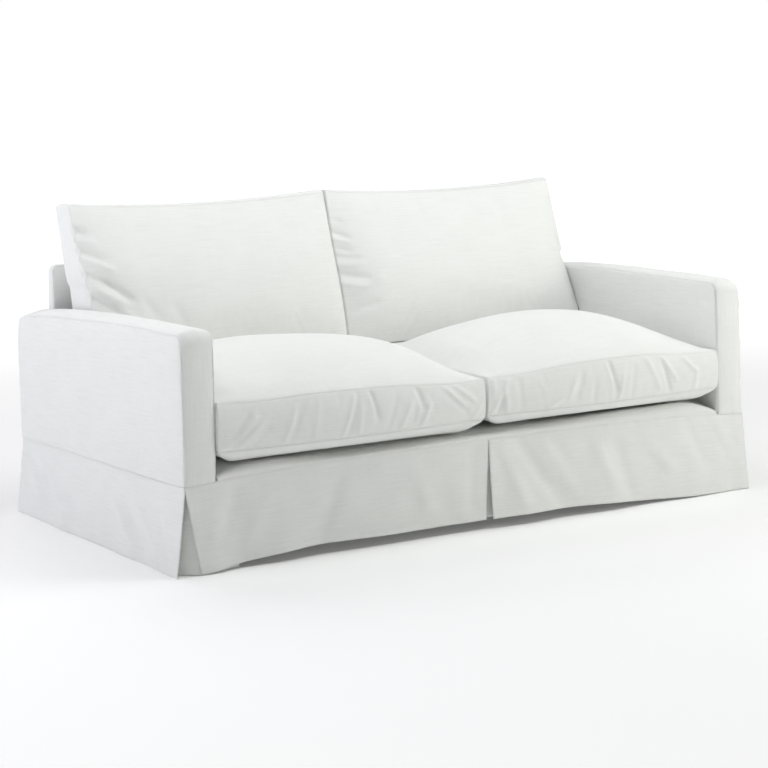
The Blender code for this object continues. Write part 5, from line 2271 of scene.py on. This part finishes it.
@dataclass(frozen=True)
class Studio:
    """The floor, the soft light and the camera."""

    azimuth: float = -0.563791
    elevation: float = 0.141969
    roll: float = -0.022641
    distance: float = 6.489477
    across: float = -0.000714
    above: float = -0.045278
    aim_z: float = 0.4
    lens: float = 101.222
    floor_size: float = 60.0
    ambient: float = 0.062
    behind: float = 0.760
    # The floor's painted glow: how much it rises, its level beside the seat, where it starts to
    # rise and over what distance.
    glow: float = 0.90
    glow_near: float = 0.06
    glow_from: float = 1.2
    glow_over: float = 4.0
    room_colour: Colour = (0.98, 0.98, 1.0, 1.0)
    seen_colour: Colour = (1.0, 1.0, 1.0, 1.0)
    floor_colour: Colour = (0.94, 0.94, 0.935, 1.0)
    floor_roughness: float = 0.8
    floor_specular: float = 0.1
    sensor: float = 36.0
    sees_to: float = 200.0

    # Square soft lights. Columns: name, place, where it looks, size, watts, colour, spread.
    LIGHTS = (
        ("left", (-4.0, 1.1, 0.9), (-0.95, 0.3, 0.3), 1.8, 31.8, (0.875, 0.89, 1.0), 180),
        ("top", (0.3, -0.95, 2.9), (0.0, -0.05, 0.4), 1.8, 25.6, (0.97, 1.0, 0.98), 180),
        ("top_left", (-1.7, -0.6, 2.5), (-0.5, -0.1, 0.5), 1.6, 20.7, (0.965, 0.97, 1.0), 180),
        ("top_right", (2.0, -1.0, 2.6), (0.2, -0.1, 0.4), 1.6, 20.2, (0.985, 0.985, 1.0), 180),
        ("top_rear", (-0.6, 1.8, 2.6), (0.0, 0.2, 0.5), 1.8, 19.8, (1.0, 0.95, 1.0), 180),
        ("right", (2.7, -3.0, 1.3), (0.9, -0.5, 0.4), 1.3, 12.4, (1.0, 1.0, 0.94), 100),
    )

    def floor(self) -> None:
        """A plain pale floor that glows as painted light, faintly beside the seat and more further
        off.
        """
        half = self.floor_size / 2
        corners = [(-half, -half, 0), (half, -half, 0), (half, half, 0), (-half, half, 0)]
        mesh = bpy.data.meshes.new("floor")
        mesh.from_pydata(corners, [], [(0, 1, 2, 3)])
        floor = Workroom.link(bpy.data.objects.new("floor", mesh))
        pale = bpy.data.materials.new("pale_floor")
        nodes = Nodes.on(pale, "Principled BSDF")
        values = {0: nodes.place("Object")}
        far = nodes.node("ShaderNodeVectorMath", {"operation": "LENGTH"}, values, "Value")
        # Painted light: the floor glows more the further it is from the seat, so that it stays
        # evenly white.
        glow = ((far - self.glow_from) * (1 / self.glow_over)).clamp() * self.glow + self.glow_near
        nodes.feed({
            "Base Color": self.floor_colour,
            "Emission Color": nodes.node("ShaderNodeCombineXYZ", {}, dict.fromkeys("XYZ", glow)),
            "Emission Strength": 1.0,
            "Roughness": self.floor_roughness,
            "Specular IOR Level": self.floor_specular,
        })
        mesh.materials.append(pale)

    def light(
        self, name: str, place: Place, aim: Place, size: float, power: float, colour: Place,
        spread: float,
    ) -> None:
        """A square soft light that looks at a place.

        Args:
            name: its name.
            place: where it stands.
            aim: where it looks.
            size: its width.
            power: its watts.
            colour: its colour.
            spread: how wide it shines, in degrees.
        """
        data = bpy.data.lights.new(name, "AREA")
        data.size = size
        data.energy = power
        data.color = colour
        data.spread = math.radians(spread)
        lamp = Workroom.link(bpy.data.objects.new(name, data))
        lamp.location = place
        lamp.rotation_euler = (Vector(aim) - Vector(place)).to_track_quat("-Z", "Y").to_euler()

    def world(self) -> None:
        """A pale room, brightest behind the seat."""
        world = bpy.data.worlds.new("room")
        nodes = Nodes.on(world, "Background")
        lit = nodes.axis(nodes.place("Generated"), "Y").clamp() * self.behind + self.ambient
        seen = nodes.node("ShaderNodeLightPath", {}, {}, "Is Camera Ray")
        nodes.feed({"Strength": lit + seen * (1 - lit)})
        nodes.feed({"Color": nodes.blend(seen, self.room_colour, self.seen_colour)})
        bpy.context.scene.world = world

    def camera(self) -> None:
        """The photograph's viewing angle."""
        a, e, r = self.azimuth, self.elevation, self.roll
        back = Vector((math.sin(a) * math.cos(e), -math.cos(a) * math.cos(e), math.sin(e)))
        level = Vector((math.cos(a), math.sin(a), 0.0))
        up = back.cross(level)
        right = math.cos(r) * level + math.sin(r) * up
        top = -math.sin(r) * level + math.cos(r) * up
        place = Vector((0, 0, self.aim_z)) + back * self.distance
        place += right * self.across + top * self.above
        data = bpy.data.cameras.new("camera")
        data.lens = self.lens
        data.sensor_width = self.sensor
        data.clip_end = self.sees_to
        camera = Workroom.link(bpy.data.objects.new("camera", data))
        turn = Matrix((right, top, back)).transposed()
        camera.matrix_world = Matrix.Translation(place) @ turn.to_4x4()
        bpy.context.scene.camera = camera

    def build(self) -> None:
        """Sets up the studio."""
        self.floor()
        self.world()
        self.camera()
        for row in self.LIGHTS:
            self.light(*row)
        bpy.context.scene.view_settings.view_transform = "Standard"
        bpy.context.scene.view_settings.look = "None"


def puff_up(made: list[tuple[bpy.types.Object, np.ndarray]], filling: Filling) -> None:
    """Runs the cloth simulation on all the cushions at once.

    Args:
        made: each cushion's object, and the numbers of its points beside the seams.
        filling: how they are puffed up.
    """
    scene = bpy.context.scene
    scene.frame_start, scene.frame_end = 1, filling.frames
    for obj, beside_seams in made:
        filling.add(obj, beside_seams)
    for number in range(1, filling.frames + 1):
        scene.frame_set(number)
    for obj, _ in made:
        filling.read(obj)
    scene.frame_set(1)


def main() -> None:
    """Builds the dressed slipcover, piece by piece."""
    logging.basicConfig(level=logging.INFO, format="%(name)s: %(message)s")
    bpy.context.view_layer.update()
    cover = Cover()
    linen = SlubLinen("slub_linen").material()
    cushion_linen = SlubLinen("cushion_linen", slub_share=0.20, seam_shade=0.80).material()
    wardrobe = Wardrobe(linen)
    for side in Side:
        ArmCover(cover, side).build(wardrobe)
    LowBack(cover).build(wardrobe)
    SeatDeck(cover).build(wardrobe)
    hems = Skirt(cover).build(wardrobe)
    HemStitches(Thread().material()).build(hems)
    made = []
    for side in Side:
        for kind in (SeatCushion, BackCushion):
            cushion = kind(cover, side, cushion_linen)
            made.append((cushion, *cushion.shape().build()))
    puff_up([row[1:] for row in made], Filling())
    for cushion, obj, _ in made:
        cushion.finish(obj)
    Studio().build()


if __name__ == "__main__":
    main()
